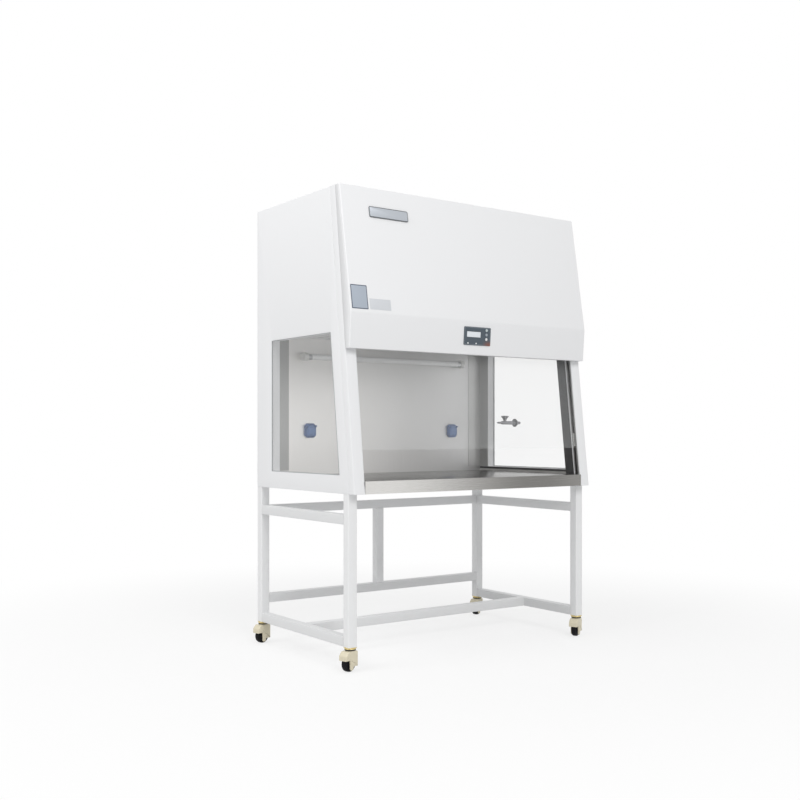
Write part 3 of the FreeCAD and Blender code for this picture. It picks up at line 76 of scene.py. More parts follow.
def hood_reach(z, soft=0.006):
    """How far the hood stands ahead of the slant: straight lines through three heights,
    and within `soft` of the fold the corner loses (soft - |t|) squared times k / 4 soft,
    where t is the height above the fold and k the change of slope there."""
    change = 0.027 / (HOOD_FOLD - HOOD_LOW) + 0.024 / (TOP_Z - HOOD_FOLD)
    t = np.abs(z - HOOD_FOLD)
    lost = np.where(t < soft, (soft - t) ** 2 * change / (4 * soft), 0.0)
    return np.interp(z, [HOOD_LOW, HOOD_FOLD, TOP_Z], [0.031, 0.058, 0.034]) - lost


def on_both_sides(make):
    """Calls a maker for the left and for the right side."""
    for side, sign in SIDES:
        make(side, sign)


print("lean over the height:", round(lean(TOP_Z) - lean(BASE_Z), 3), "m")

# %% [markdown]
# ## Shader arithmetic
#
# A node tree is a formula. Drawing it by hand hides the formula, so one small class wraps a
# socket and lets Python's operators build the Math nodes. `make` adds any other node.

# %% A socket that can be calculated with
class Wire:
    """One output socket of a node tree, with arithmetic."""

    def __init__(self, tree, socket=None):
        self.tree = tree
        self.socket = socket

    def make(self, kind, inputs=None, output=0, **settings):
        """Adds a node: its settings first, then the values or links of its sockets."""
        node = self.tree.nodes.new(kind)
        for name, value in settings.items():
            setattr(node, name, value)
        for name, value in (inputs or {}).items():
            if isinstance(value, Wire):
                self.tree.links.new(value.socket, node.inputs[name])
            else:
                node.inputs[name].default_value = value
        return Wire(self.tree, node.outputs[output])

    def math(self, operation, *values):
        return self.make("ShaderNodeMath", dict(enumerate(values)), operation=operation)

    def __add__(self, other):
        return self.math("ADD", self, other)

    def __radd__(self, other):
        return self.math("ADD", other, self)

    def __sub__(self, other):
        return self.math("SUBTRACT", self, other)

    def __rsub__(self, other):
        return self.math("SUBTRACT", other, self)

    def __mul__(self, other):
        return self.math("MULTIPLY", self, other)

    def __rmul__(self, other):
        return self.math("MULTIPLY", other, self)

    def __pow__(self, other):
        return self.math("POWER", self, other)

    def most(self, other):
        return self.math("MAXIMUM", self, other)

    def size(self):
        return self.math("ABSOLUTE", self)

    def step(self, low, high):
        """A smooth step from 0 at low to 1 at high."""
        return self.make("ShaderNodeMapRange", {"Value": self, "From Min": low,
                                                "From Max": high},
                         interpolation_type="SMOOTHSTEP")

    def split(self):
        """The X, Y and Z of a vector."""
        parts = self.make("ShaderNodeSeparateXYZ", {0: self})
        return tuple(Wire(self.tree, socket) for socket in parts.socket.node.outputs)

    def scaled(self, x, y, z):
        return self.make("ShaderNodeMapping", {"Vector": self, "Scale": (x, y, z)})

    def noise(self, scale, detail=2.0, roughness=0.5):
        return self.make("ShaderNodeTexNoise", {"Vector": self, "Scale": scale,
                                                "Detail": detail, "Roughness": roughness})

    def blend(self, low, high):
        """A colour that runs from low to high as this wire runs from 0 to 1."""
        sockets = {"Factor": self}
        for index, value in ((6, low), (7, high)):
            sockets[index] = value if isinstance(value, Wire) else (*value, 1.0)
        return self.make("ShaderNodeMix", sockets, output=2, data_type="RGBA")


# %% A Principled material fed by such sockets
class Finish:
    """A Principled material: constants on its own sockets, wires for what varies."""

    def __init__(self, name, **constants):
        self.material = bpy.data.materials.new(name)
        self.material.use_nodes = True
        self.tree = self.material.node_tree
        self.shader = self.tree.nodes["Principled BSDF"]
        self.start = Wire(self.tree)
        self.place = self.start.make("ShaderNodeTexCoord", output="Object")
        for key, value in constants.items():
            socket = self.shader.inputs[key.replace("_", " ")]
            socket.default_value = (*value, 1.0) if isinstance(value, tuple) else value

    def feed(self, name, wire):
        self.tree.links.new(wire.socket, self.shader.inputs[name])
        return self

    def bump(self, height, distance, strength=1.0):
        """Feeds a height from 0 to 1, worth `distance` metres, to the normal."""
        return self.feed("Normal", self.start.make("ShaderNodeBump", {
            "Height": height, "Distance": distance, "Strength": strength}))


# %% [markdown]
# ## Powder coat
#
# The white shell and stand are baked powder: satin, very slightly uneven in gloss, with an
# orange peel too fine to see as bumps from a step away. Noise in object coordinates gives
# both, because it holds still on the metal when a piece moves.

# %% Powder coat
def powder_coat(name, colour, roughness=0.42):
    """Roughness drifts by a few hundredths over a hand's width; the peel is 40 microns."""
    finish = Finish(name, Base_Color=colour, IOR=1.5)
    drift = finish.place.noise(6.0)
    finish.feed("Roughness", roughness + (drift - 0.5) * 0.08)
    finish.bump(finish.place.noise(900.0), 0.00004)
    return finish.material


COAT = powder_coat("white_powder_coat", (0.84, 0.845, 0.855))
STAND_COAT = powder_coat("stand_powder_coat", (0.84, 0.845, 0.85), 0.36)
# The rails take the legs' coat, painted darker: painted shade under the cabinet.
RAIL_COAT_PAINTED_SHADE = powder_coat("rail_coat_painted_shade", (0.76, 0.765, 0.77), 0.36)
MOTOR = powder_coat("motor_black", (0.03, 0.03, 0.033), 0.4)

# %% [markdown]
# ## Brushed steel
#
# Belt-brushed stainless has streaks a hundred times longer than wide. Noise squeezed across
# the grain gives the streaks, and they move tint, gloss and a hair of relief together, as
# real scratches do. A slow cloud keeps a large sheet from looking printed.

# %% Brushed steel
ACROSS_GRAIN, ALONG_GRAIN = 900.0, 8.0


def brushed_metal(name, along, roughness, streak):
    """Streak = noise(p), p being 900 per metre across the grain and 8 along it. Returns
    the finish, its streaks and its cloud, for the colour to use."""
    finish = Finish(name, Metallic=1.0)
    scale = [ACROSS_GRAIN] * 3
    scale["xyz".index(along)] = ALONG_GRAIN
    streaks = finish.place.scaled(*scale).noise(1.0, 3.0, 0.6)
    cloud = finish.place.noise(2.5)
    finish.feed("Roughness", roughness + (streaks - 0.5) * streak + (cloud - 0.5) * 0.06)
    finish.bump(streaks, 0.00002)
    return finish, streaks, cloud


def brushed(name, colour, along, roughness=0.30, streak=0.10):
    """One tone, a tenth darker in the scratches and a little paler between them."""
    finish, streaks, cloud = brushed_metal(name, along, roughness, streak)
    dark = tuple(c * 0.90 for c in colour)
    light = tuple(min(1.0, c * 1.08) for c in colour)
    finish.feed("Base Color", (streaks * 0.7 + cloud * 0.3).blend(dark, light))
    return finish.material


LINER_STEEL = brushed("brushed_liner", (0.62, 0.615, 0.605), "z", 0.42, 0.12)
# Darker than the liner: painted shade in the rear corners.
CORNER_SHADE_STEEL = brushed("brushed_corner_painted_shade", (0.50, 0.50, 0.495), "z", 0.42, 0.10)
CHANNEL_STEEL = brushed("brushed_channel", (0.40, 0.40, 0.40), "z", 0.36, 0.10)
ANODISED = brushed("anodised_trim", (0.58, 0.59, 0.60), "z", 0.38, 0.08)
AXLE = brushed("axle_steel", (0.62, 0.62, 0.64), "z", 0.2, 0.05)
TAP = brushed("tap_metal", (0.24, 0.24, 0.25), "x", 0.28, 0.08)
# The rim's own dark steel, made darker still as painted shadow along the plate's edge.
BADGE_RIM_AND_SHADOW = brushed("badge_rim_and_shadow", (0.17, 0.18, 0.19), "x", 0.34, 0.08)
BADGE_FIELD = brushed("badge_field", (0.50, 0.53, 0.57), "x", 0.40, 0.06)

# %% [markdown]
# ## Steel with painted light and shade over a large sheet
#
# The back wall is painted paler towards its left end: painted light. The table's top is
# painted dark, as painted shade under the hood, and its nose is painted bright from the right
# third towards the left end: a painted reflection. Each is one sheet with one grain, so the
# finish stays brushed steel and only its tone follows a smooth mask in object coordinates.

# %% The back wall and the table
def steel_with_painted_light(name, along, low, high, mask_of, roughness, streak):
    """Brushed steel whose tone runs from low to high as the mask runs from 0 to 1, times
    0.9 to 1.1 with the streaks. The mask paints light and shade into the tone."""
    finish, streaks, _ = brushed_metal(name, along, roughness, streak)
    tone = mask_of(finish.place).blend(low, high)
    finish.feed("Base Color", finish.start.make(
        "ShaderNodeVectorMath", {0: tone, "Scale": streaks * 0.2 + 0.9}, operation="SCALE"))
    return finish.material


def painted_light_wall_mask(place):
    """0 at the left end, where the painted light is, 1 at the right end."""
    return place.split()[0].step(-0.60, 0.62)


def painted_shade_and_sheen_mask(place):
    """0 on the top, whose dark tone is painted shade; on the nose it rises from the right third
    towards the left end, a painted reflection.
    """
    x, _, z = place.split()
    nose = 1 - z.step(0.7540, 0.7549)
    return nose * (1 - x.step(-0.55, 0.30) + 0.10 * x.step(0.38, 0.60))


# The wall's pale left end is painted light.
WALL_STEEL = steel_with_painted_light("brushed_wall", "z", (0.96, 0.945, 0.925), (0.60, 0.60, 0.60),
                            painted_light_wall_mask, 0.42, 0.12)
# The table's dark top is painted shade; its bright nose is a painted reflection.
TABLE_STEEL = steel_with_painted_light("brushed_table", "x", (0.225, 0.22, 0.21), (0.72, 0.71, 0.69),
                             painted_shade_and_sheen_mask, 0.26, 0.14)

# %% [markdown]
# ## Plastic, rubber and paper
#
# Moulded pieces carry a spark-eroded grain and small differences in gloss. Rubber is nearly
# black and dull. The pleated filter is matte glass-fibre paper.

# %% Moulded finishes
def plastic(name, colour, roughness=0.35, grain=0.00003):
    """Grain of 30 microns; roughness drifts over a thumb's width."""
    finish = Finish(name, Base_Color=colour, IOR=1.48)
    finish.feed("Roughness", roughness + (finish.place.noise(25.0) - 0.5) * 0.1)
    finish.bump(finish.place.noise(1400.0), grain)
    return finish.material


LAMP_GLASS = plastic("lamp_glass", (0.96, 0.965, 0.97), 0.12)
NYLON = plastic("white_nylon", (0.80, 0.80, 0.78), 0.45)
SOCKET_LID = plastic("socket_lid_blue", (0.190, 0.320, 0.640), 0.32)
SOCKET_PLATE = plastic("socket_plate_blue", (0.130, 0.220, 0.470), 0.4)
SCREEN = plastic("display_white", (0.80, 0.84, 0.88), 0.2)
LENS = plastic("pilot_lens", (0.93, 0.95, 0.95), 0.15)
KEY_FINISH = [plastic("key_pale", (0.55, 0.62, 0.62), 0.35),
              plastic("key_grey", (0.36, 0.40, 0.44), 0.4),
              plastic("key_white", (0.80, 0.80, 0.80), 0.35)]
BOARD = plastic("board_green", (0.02, 0.16, 0.06), 0.4)
INLET = plastic("inlet_black", (0.02, 0.02, 0.02), 0.45)
CREAM = plastic("caster_cream", (0.72, 0.66, 0.50), 0.35)
SEAL = plastic("grey_seal", (0.42, 0.43, 0.44), 0.5)
# A black sheet that stands for shade on the side liners: painted shade.
SHADE_STRIP_BLACK = plastic("shade_strip_black", (0.080, 0.080, 0.082), 0.45)
LABEL_EDGE = plastic("label_edge", (0.065, 0.085, 0.130), 0.4)
LABEL_FIELD = plastic("label_field", (0.42, 0.47, 0.54), 0.4)
LABEL_PALE = plastic("label_pale", (0.66, 0.68, 0.71), 0.4)


def matte(name, colour, roughness, scale, depth, gloss=0.5):
    """A dull surface whose relief is noise of a given scale and depth."""
    finish = Finish(name, Base_Color=colour, Specular_IOR_Level=gloss)
    finish.feed("Roughness", roughness + (finish.place.noise(30.0) - 0.5) * 0.1)
    finish.bump(finish.place.noise(scale, 4.0), depth)
    return finish.material


TREAD = matte("tread_black", (0.006, 0.006, 0.007), 0.6, 700.0, 0.0001, 0.15)
PAPER = matte("filter_paper", (0.86, 0.86, 0.83), 0.9, 1500.0, 0.0002)

# %% [markdown]
# ## Zinc
#
# Galvanised sheet shows spangle: crystals of slightly different tone, which a Voronoi
# pattern's cells give. The caster races are zinc with a yellow passivation that drifts.

# %% Zinc finishes
def galvanised(name):
    """Each Voronoi cell, about 11 mm across, has its own tone and gloss."""
    finish = Finish(name, Metallic=1.0)
    cells = finish.start.make("ShaderNodeTexVoronoi", {"Vector": finish.place, "Scale": 90.0},
                              output="Color")
    tone = finish.start.make("ShaderNodeSeparateColor", {0: cells})
    finish.feed("Base Color", tone.blend((0.50, 0.52, 0.53), (0.70, 0.72, 0.73)))
    finish.feed("Roughness", 0.35 + tone * 0.15)
    return finish.material


def yellow_zinc(name):
    """Gold that drifts a little towards straw."""
    finish = Finish(name, Metallic=1.0)
    drift = finish.place.noise(60.0)
    finish.feed("Base Color", drift.blend((0.62, 0.50, 0.22), (0.80, 0.68, 0.36)))
    finish.feed("Roughness", 0.3 + drift * 0.2)
    return finish.material


ZINC_SHEET = galvanised("galvanised_sheet")
RACE_ZINC = yellow_zinc("race_zinc")

# %% [markdown]
# ## Glass
#
# From the room the panes read as a faint film over what lies behind them, with clear
# reflections. The side windows are clean; the sash carries a little more haze, so the steel
# behind it looks paler than below its edge. Alpha gives the film, a coat gives the gloss.

# %% Panes
def pane(name, tint, film):
    """Alpha = film, plus or minus a breath of haze that drifts over half a metre."""
    finish = Finish(name, Base_Color=tint, Roughness=0.03, IOR=1.5, Coat_Weight=1.0)
    finish.feed("Alpha", film + (finish.place.noise(3.0, 3.0) - 0.5) * film * 0.4)
    finish.material.surface_render_method = "BLENDED"
    return finish.material


WINDOW_PANE = pane("window_pane", (0.90, 0.92, 0.92), 0.06)
SASH_PANE = pane("sash_pane", (0.88, 0.90, 0.90), 0.07)

# %% [markdown]
# ## The control panel's membrane
#
# One printed sheet of slate grey, with a paler line near its edge and a red-brown patch in
# the lower right corner, where the photograph shows one. All of it is a formula in the
# object's own width and height, so nothing is drawn and no lettering appears.

# %% The membrane
PANEL_Z = 1.361
PANEL_HALF = (0.0735, 0.039)


def membrane(name):
    """The edge line is where max(|x| - w, |z - z0| - h) lies between two distances."""
    finish = Finish(name, IOR=1.48)
    x, _, z = finish.place.split()
    rise = z - PANEL_Z
    side = x.size() - PANEL_HALF[0]
    reach = side.most(rise.size() - PANEL_HALF[1])
    line = reach.step(-0.0042, -0.0038) - reach.step(-0.0030, -0.0026)
    patch = x.step(0.022, 0.066) * (1 - rise.step(-0.036, -0.012))
    slate = (finish.place.noise(300.0) * 0.5).blend((0.062, 0.082, 0.102), (0.098, 0.125, 0.150))
    field = line.blend(slate, (0.24, 0.27, 0.30))
    finish.feed("Base Color", patch.blend(field, (0.21, 0.085, 0.065)))
    finish.feed("Roughness", 0.36 + (finish.place.noise(40.0) - 0.5) * 0.1)
    return finish.material


SLATE = membrane("panel_slate")

# %% [markdown]
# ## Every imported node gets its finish
#
# The record names a material slot for each node; a few nodes need their own variant.

# %% Slots to finishes
SLOT_FINISH = {
    "white_coat": COAT, "stainless": LINER_STEEL, "anodised": CHANNEL_STEEL,
    "clear_glass": WINDOW_PANE, "tube_glass": LAMP_GLASS, "nylon": NYLON,
    "filter_media": PAPER, "galvanised": ZINC_SHEET, "motor_black": MOTOR,
    "axle_steel": AXLE, "socket_blue": SOCKET_PLATE, "tap_grey": TAP, "panel_slate": SLATE,
    "display_white": SCREEN, "key_grey": KEY_FINISH[1], "board_green": BOARD,
    "inlet_black": INLET, "race_zinc": RACE_ZINC, "fork_cream": CREAM, "tread_black": TREAD}
OWN_FINISH = {
    "work_table": TABLE_STEEL, "back_wall": WALL_STEEL, "sash_glass": SASH_PANE,
    "stand_legs": STAND_COAT, "side_rails": RAIL_COAT_PAINTED_SHADE, "back_rails": RAIL_COAT_PAINTED_SHADE,
    "cross_rail": RAIL_COAT_PAINTED_SHADE, "back_post": STAND_COAT}
for part in frame["record"]["subparts"]:
    finish = OWN_FINISH.get(part["node"], SLOT_FINISH[part["material_slot"]])
    for entry in nodes[part["node"]].material_slots:
        entry.material = finish
print(len(bpy.data.materials), "finishes")

# %% [markdown]
# ## Surfaces from formulas
#
# Every new piece is a grid of computed points: rows of rings, skinned with quads. Whole
# arrays keep the formula visible, and one function turns the arrays into a mesh. `piece`
# also merges doubles, turns the faces outwards, and ties the mesh to a moving body.

# %% From arrays to a piece
def piece(name, parts, finish, body="cabinet", stands_for=(), sharp=35):
    """Joins parts of (points, blocks of faces) into one named mesh on a body; it hides the
    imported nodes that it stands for."""
    starts = np.cumsum([0] + [len(points) for points, _ in parts])
    blocks = [block + start for (_, faces), start in zip(parts, starts) for block in faces]
    mesh = bpy.data.meshes.new(name)
    mesh.from_pydata(np.concatenate([points for points, _ in parts]).tolist(), [],
                     sum((block.tolist() for block in blocks), []))
    net = bmesh.new()
    net.from_mesh(mesh)
    bmesh.ops.remove_doubles(net, verts=net.verts, dist=1e-6)
    bmesh.ops.recalc_face_normals(net, faces=net.faces)
    net.to_mesh(mesh)
    net.free()
    mesh.shade_smooth()
    mesh.set_sharp_from_angle(angle=math.radians(sharp))
    mesh.materials.append(finish)
    shape = bpy.data.objects.new(name, mesh)
    bpy.context.scene.collection.objects.link(shape)
    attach(shape, body)
    if stands_for:
        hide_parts(*stands_for)
    print(name, len(mesh.vertices), "points", len(mesh.polygons), "faces on", body)
    return shape


def loft(rings, ends="capped"):
    """Skins rows of equal rings: a quad joins (i, j), (i, j+1), (i+1, j+1) and (i+1, j).
    The first and last rings are capped by a face, left open, or joined to each other."""
    rows, cols = rings.shape[:2]
    i, j = np.meshgrid(np.arange(rows if ends == "joined" else rows - 1), np.arange(cols),
                       indexing="ij")
    k, m = (i + 1) % rows, (j + 1) % cols
    quads = np.stack([i * cols + j, i * cols + m, k * cols + m, k * cols + j], -1)
    faces = [quads.reshape(-1, 4)]
    if ends == "capped":
        faces += [np.arange(cols)[None], np.arange((rows - 1) * cols, rows * cols)[None]]
    return rings.reshape(-1, 3), faces


# %% [markdown]
# ## Outlines: inset and rounded
#
# Sheet metal and mouldings have no razor edges. An outline can be moved inwards by a miter
# rule and its corners swapped for arcs. Both are formulas on the whole list of corners, so
# any section of the cabinet can use them, and a Bevel modifier isn't needed.

# %% Inset and rounding of an outline
def inset(points, distance):
    """Moves each side inwards. With n and m the inward normals of the two sides at a
    corner, the corner moves by (n + m) d / (1 + n . m)."""
    points = np.asarray(points, float)
    sides = np.roll(points, -1, 0) - points
    after = np.roll(points, -1, 0)
    area = np.sum(points[:, 0] * after[:, 1] - points[:, 1] * after[:, 0])
    normals = np.stack([-sides[:, 1], sides[:, 0]], -1) * np.sign(area)
    normals /= np.linalg.norm(normals, axis=1)[:, None]
    before = np.roll(normals, 1, 0)
    miter = (normals + before) / (1 + np.sum(normals * before, 1))[:, None]
    return points + miter * distance


def rounded(points, radius, steps=4):
    """Swaps each corner P for an arc. With h the half angle and b the bisector, the centre
    is P + b r / sin h, and the arc turns from one side's tangent point to the other's."""
    points = np.asarray(points, float)
    back = np.roll(points, 1, 0) - points
    on = np.roll(points, -1, 0) - points
    back /= np.linalg.norm(back, axis=1)[:, None]
    on /= np.linalg.norm(on, axis=1)[:, None]
    half = 0.5 * np.arccos(np.sum(back * on, 1))[:, None]
    radius = np.broadcast_to(radius, len(points))[:, None]
    way = (back + on) / np.linalg.norm(back + on, axis=1)[:, None]
    centre = points + way * radius / np.sin(half)
    start = points + back * radius / np.tan(half) - centre
    end = points + on * radius / np.tan(half) - centre
    turn = (math.pi - 2 * half)[:, None]
    t = np.linspace(0, 1, steps + 1)[None, :, None]
    arc = start[:, None] * np.sin((1 - t) * turn) + end[:, None] * np.sin(t * turn)
    return (centre[:, None] + arc / np.sin(turn)).reshape(-1, 2)


def block(width, height):
    """The four corners of a rectangle about the origin."""
    return np.array([(-1, -1), (1, -1), (1, 1), (-1, 1)]) * (width / 2, height / 2)


square = rounded(block(0.04, 0.04), 0.003)
print("a rounded 40 mm square:", len(square), "points, spans", np.ptp(square, 0))

# %% [markdown]
# ## Side casings
#
# Each side is a tray of white sheet, 41 mm deep, with a window cut through it. As one loft
# it runs from the inner rim over the rounded outer edge, across the face, round the window's
# edge and back in. One closed surface needs no boolean cut, so the highlights stay clean.

# %% The side casings
WINDOW_LOW, WINDOW_HIGH, WINDOW_BACK = 0.776, 1.354, 0.266
WINDOW_SETBACK, PILLAR_DEPTH, LINER_BACK_X = 0.101, 0.039, 0.6092
WINDOW = np.array([
    (lean(WINDOW_LOW) + WINDOW_SETBACK, WINDOW_LOW), (WINDOW_BACK, WINDOW_LOW),
    (WINDOW_BACK, WINDOW_HIGH), (lean(WINDOW_HIGH) + WINDOW_SETBACK, WINDOW_HIGH)])


def side_case(side, sign):
    """Rings of (x, outline): edge radius e gives x = w - e + e sin a, inset e (1 - cos a)."""
    outline = np.array([
        (lean(BASE_Z) + PILLAR_DEPTH, BASE_Z), (BACK_Y, BASE_Z),
        (BACK_Y, TOP_Z), (lean(TOP_Z) + PILLAR_DEPTH, TOP_Z)])
    inner, edge, lip = LINER_BACK_X, 0.0025, 0.0012
    turn = np.linspace(0, math.pi / 2, 5)
    rings = [(inner, rounded(outline, 0.004))]
    rings += [(HALF_WIDTH - edge + edge * math.sin(a),
               rounded(inset(outline, edge * (1 - math.cos(a))), 0.004)) for a in turn]
    rings += [(HALF_WIDTH - lip + lip * math.sin(a),
               rounded(inset(WINDOW, -lip * (1 - math.cos(a))), 0.003)) for a in turn[::-1]]
    rings.append((inner, rounded(WINDOW, 0.003)))
    stack = np.stack([np.insert(ring, 0, sign * x, axis=1) for x, ring in rings])
    piece("side_case_" + side, [loft(stack, "joined")], COAT,
          stands_for=("side_panel_" + side,))


on_both_sides(side_case)

# %% [markdown]
# ## Front pillars
#
# A pillar is a folded post with a groove for the sash channel, and it follows the slanted
# front. One section is carried up the slant: at height z it slides back by lean(z). A tiny
# inset at both ends softens the cut edges.

# %% The pillars
def pillar(side, sign):
    """Section points (x, y) become (x, y + lean(z), z) at four heights."""
    inner, bottom, near, far, edge = 0.599, 0.6213, 0.0077, 0.0323, 0.0015
    section = np.array([
        (inner, 0), (HALF_WIDTH, 0), (HALF_WIDTH, PILLAR_DEPTH), (inner, PILLAR_DEPTH),
        (inner, far), (bottom, far), (bottom, near), (inner, near)])
    ends = [(BASE_Z, edge), (BASE_Z + edge, 0.0), (TOP_Z - edge, 0.0), (TOP_Z, edge)]
    rings = [np.insert(rounded(inset(section, cut), 0.0016 + cut * 0.2) * (sign, 1)
                       + (0, lean(z)), 2, z, axis=1) for z, cut in ends]
    piece("pillar_skin_" + side, [loft(np.stack(rings))], COAT,
          stands_for=("pillar_" + side,))


on_both_sides(pillar)

# %% [markdown]
# ## Window seals
#
# The panes sit flush in the casing with a thin grey bead round them. The bead is a small
# flat section carried round the window's outline, so it turns the slanted corner by itself.

# %% The window seals
def window_bead(side, sign):
    """Each (inset, x) of the section gives one ring of the window's outline."""
    section = ((0.0004, -0.004), (0.0004, -0.0003), (0.0012, 0.0), (0.0030, 0.0),
               (0.0036, -0.0003), (0.0036, -0.004))
    rings = [np.insert(rounded(inset(WINDOW, cut), 0.003), 0, sign * (HALF_WIDTH + rise), axis=1)
             for cut, rise in section]
    piece("window_bead_" + side, [loft(np.stack(rings), "joined")], SEAL)


on_both_sides(window_bead)

# %% [markdown]
# ## The folded hood
#
# The hood is one sheet: a face with a fold below its middle, and four returns behind it. It
# starts as the open box of five grids, welded where they meet. Its edges are rounded by one
# rule, then its depth is bent to the slanted front. Solidify gives the sheet its thickness.

# %% An open box of five grids
def open_box(xs, ys, zs):
    """The surface grid of a box whose last y face is left open: each face is a meshgrid of
    indices, and np.unique welds the shared edges."""
    sizes = np.array([len(xs), len(ys), len(zs)])
    corners = []
    for axis, end in ((0, 0), (0, 1), (1, 0), (2, 0), (2, 1)):
        across = [a for a in range(3) if a != axis]
        u, v = np.meshgrid(*[np.arange(sizes[a] - 1) for a in across], indexing="ij")
        key = np.zeros((u.size, 4, 3), int)
        key[..., axis] = end * (sizes[axis] - 1)
        key[..., across[0]] = u.ravel()[:, None] + (0, 1, 1, 0)
        key[..., across[1]] = v.ravel()[:, None] + (0, 0, 1, 1)
        corners.append(key)
    keys, faces = np.unique(np.concatenate(corners).reshape(-1, 3), axis=0,
                            return_inverse=True)
    points = np.stack([xs[keys[:, 0]], ys[keys[:, 1]], zs[keys[:, 2]]], -1)
    return points, faces.reshape(-1, 4)


def softened_edges(points, low, high, radius):
    """Rounds a box: p = c + d / |d| max|d|, with c the point clamped to the box less r."""
    core = np.clip(points, low + radius, high - radius)
    off = points - core
    length = np.linalg.norm(off, axis=1)
    return core + off * (np.abs(off).max(1) / np.where(length > 0, length, 1))[:, None]


# %% The hood
def hood():
    """The box spans x, a depth share and z. y = lean(z) - gap - (reach(z) - gap) q, where q
    is the rounded depth's share."""
    depth, radius, gap = 0.045, 0.003, 0.0003
    ends = np.linspace(0, radius, 4)
    fold = HOOD_FOLD + np.linspace(-0.006, 0.006, 5)
    xs = np.concatenate([ends - HALF_WIDTH, HALF_WIDTH - ends[::-1]])
    ys = np.concatenate([ends, [depth]])
    zs = np.concatenate([HOOD_LOW + ends, fold, TOP_Z - ends[::-1]])
    points, faces = open_box(xs, ys, zs)
    low = np.array([-HALF_WIDTH, 0.0, HOOD_LOW])
    high = np.array([HALF_WIDTH, depth + 1.0, TOP_Z])
    points = softened_edges(points, low, high, radius)
    share = 1 - points[:, 1] / depth
    z = points[:, 2]
    points[:, 1] = lean(z) - gap - (hood_reach(z) - gap) * share
    shape = piece("hood_skin", [(points, [faces])], COAT,
                  stands_for=("hood_cover",), sharp=50)
    sheet = shape.modifiers.new("sheet", "SOLIDIFY")
    sheet.thickness = 0.0015
    sheet.offset = -1.0


hood()

# %% [markdown]
# ## The stand
#
# The stand is welded 40 mm square tube. Every tube is a rounded square carried along its
# length, which gives each long edge the soft highlight that drawn tube has.

# %% Square tubes
def tube(low, high, along, radius=0.003):
    """A rounded rectangle across two axes, carried from low to high along the third."""
    u, v = [axis for axis in range(3) if axis != along]
    outline = [(low[u], low[v]), (high[u], low[v]), (high[u], high[v]), (low[u], high[v])]
    ring = rounded(outline, radius)
    rings = np.zeros((2, len(ring), 3))
    rings[..., u], rings[..., v] = ring[:, 0], ring[:, 1]
    rings[:, :, along] = np.array([low[along], high[along]])[:, None]
    return loft(rings)


TUBE, FOOT, UPPER, BACK_LOWER = 0.040, 0.096, 0.581, 0.180
LEG_FRONT, LEG_BACK = -0.358, 0.398
RAIL_END = HALF_WIDTH - TUBE
OUTER_X = ((-HALF_WIDTH, -RAIL_END), (RAIL_END, HALF_WIDTH))
legs = [tube((x, y, FOOT), (end, y + TUBE, BASE_Z), 2)
        for x, end in OUTER_X for y in (LEG_FRONT, LEG_BACK - TUBE)]
piece("leg_tubes", legs, STAND_COAT, stands_for=("stand_legs",))
# The rails wear the darker coat, which is painted shade.
rails = [tube((x, LEG_FRONT + TUBE, z), (end, LEG_BACK - TUBE, z + TUBE), 1)
         for x, end in OUTER_X for z in (UPPER, FOOT)]
piece("side_rail_tubes", rails, RAIL_COAT_PAINTED_SHADE, stands_for=("side_rails",))
bars = [tube((-RAIL_END, LEG_BACK - TUBE, z), (RAIL_END, LEG_BACK, z + TUBE), 0)
        for z in (UPPER, BACK_LOWER)]
piece("back_rail_tubes", bars, RAIL_COAT_PAINTED_SHADE, stands_for=("back_rails",))
piece("cross_rail_tube", [tube((-RAIL_END, 0.0, FOOT), (RAIL_END, TUBE, FOOT + TUBE), 0)],
      RAIL_COAT_PAINTED_SHADE, stands_for=("cross_rail",))
piece("back_post_tube", [tube((-TUBE / 2, LEG_BACK - TUBE, BACK_LOWER + TUBE),
                              (TUBE / 2, LEG_BACK, UPPER), 2)],
      STAND_COAT, stands_for=("back_post",))

# %% [markdown]
# ## Bare plates on the hood
#
# A badge and two stickers sit on the hood. Their places are kept and left bare: a silver
# field in a dark crowned rim, whose dark tone is partly painted shadow of the plate's edge, a
# bordered grey field and a pale one. A plate is an outline lofted through levels of (inset,
# height), each laid on the hood's own curved face. On flat faces `placed` does the same with
# three fixed directions.

# %% Slabs that lie on any face
X, Y, Z = np.eye(3)


def placed(origin, u_way, v_way, w_way):
    """Places (u, v, w) at origin + u U + v V + w W."""
    ways = np.array([u_way, v_way, w_way])

    def place(u, v, w):
        return np.array(origin) + np.stack([u, v, w], -1) @ ways
    return place


def upright(x, y, z=0.0):
    return placed((x, y, z), X, Y, Z)


def along_x(x, y, z, sign=1):
    return placed((x, y, z), Y, Z, sign * X)


def levels_of(thickness, edge, base=0.0):
    """Levels of a slab: a straight side from its base, then a quarter-round edge."""
    turn = np.linspace(0, math.pi / 2, 4)
    return [(0.0, base)] + [(edge * (1 - math.cos(a)), thickness - edge + edge * math.sin(a))
                            for a in turn]


def slab(outline, levels, corner, place):
    """An outline lofted through its levels; place takes u, v and w to the model's frame."""
    rings = np.stack([rounded(inset(outline, cut), max(corner - cut, corner * 0.15))
                      for cut, _ in levels])
    heights = np.array([height for _, height in levels])[:, None]
    return loft(place(rings[..., 0], rings[..., 1], heights + 0 * rings[..., 0]))


def on_hood(x, z):
    """Places (u, v, w) on the hood: the point of its face, lifted along the normal, which
    is (0, -1, dy/dz) over its length."""
    def place(u, v, w):
        height, step = z + v, 0.002
        slope = SLOPE - (hood_reach(height + step) - hood_reach(height - step)) / (2 * step)
        length = np.sqrt(1 + slope ** 2)
        y = lean(height) - hood_reach(height)
        return np.stack([x + u, y - w / length, height + w * slope / length], -1)
    return place


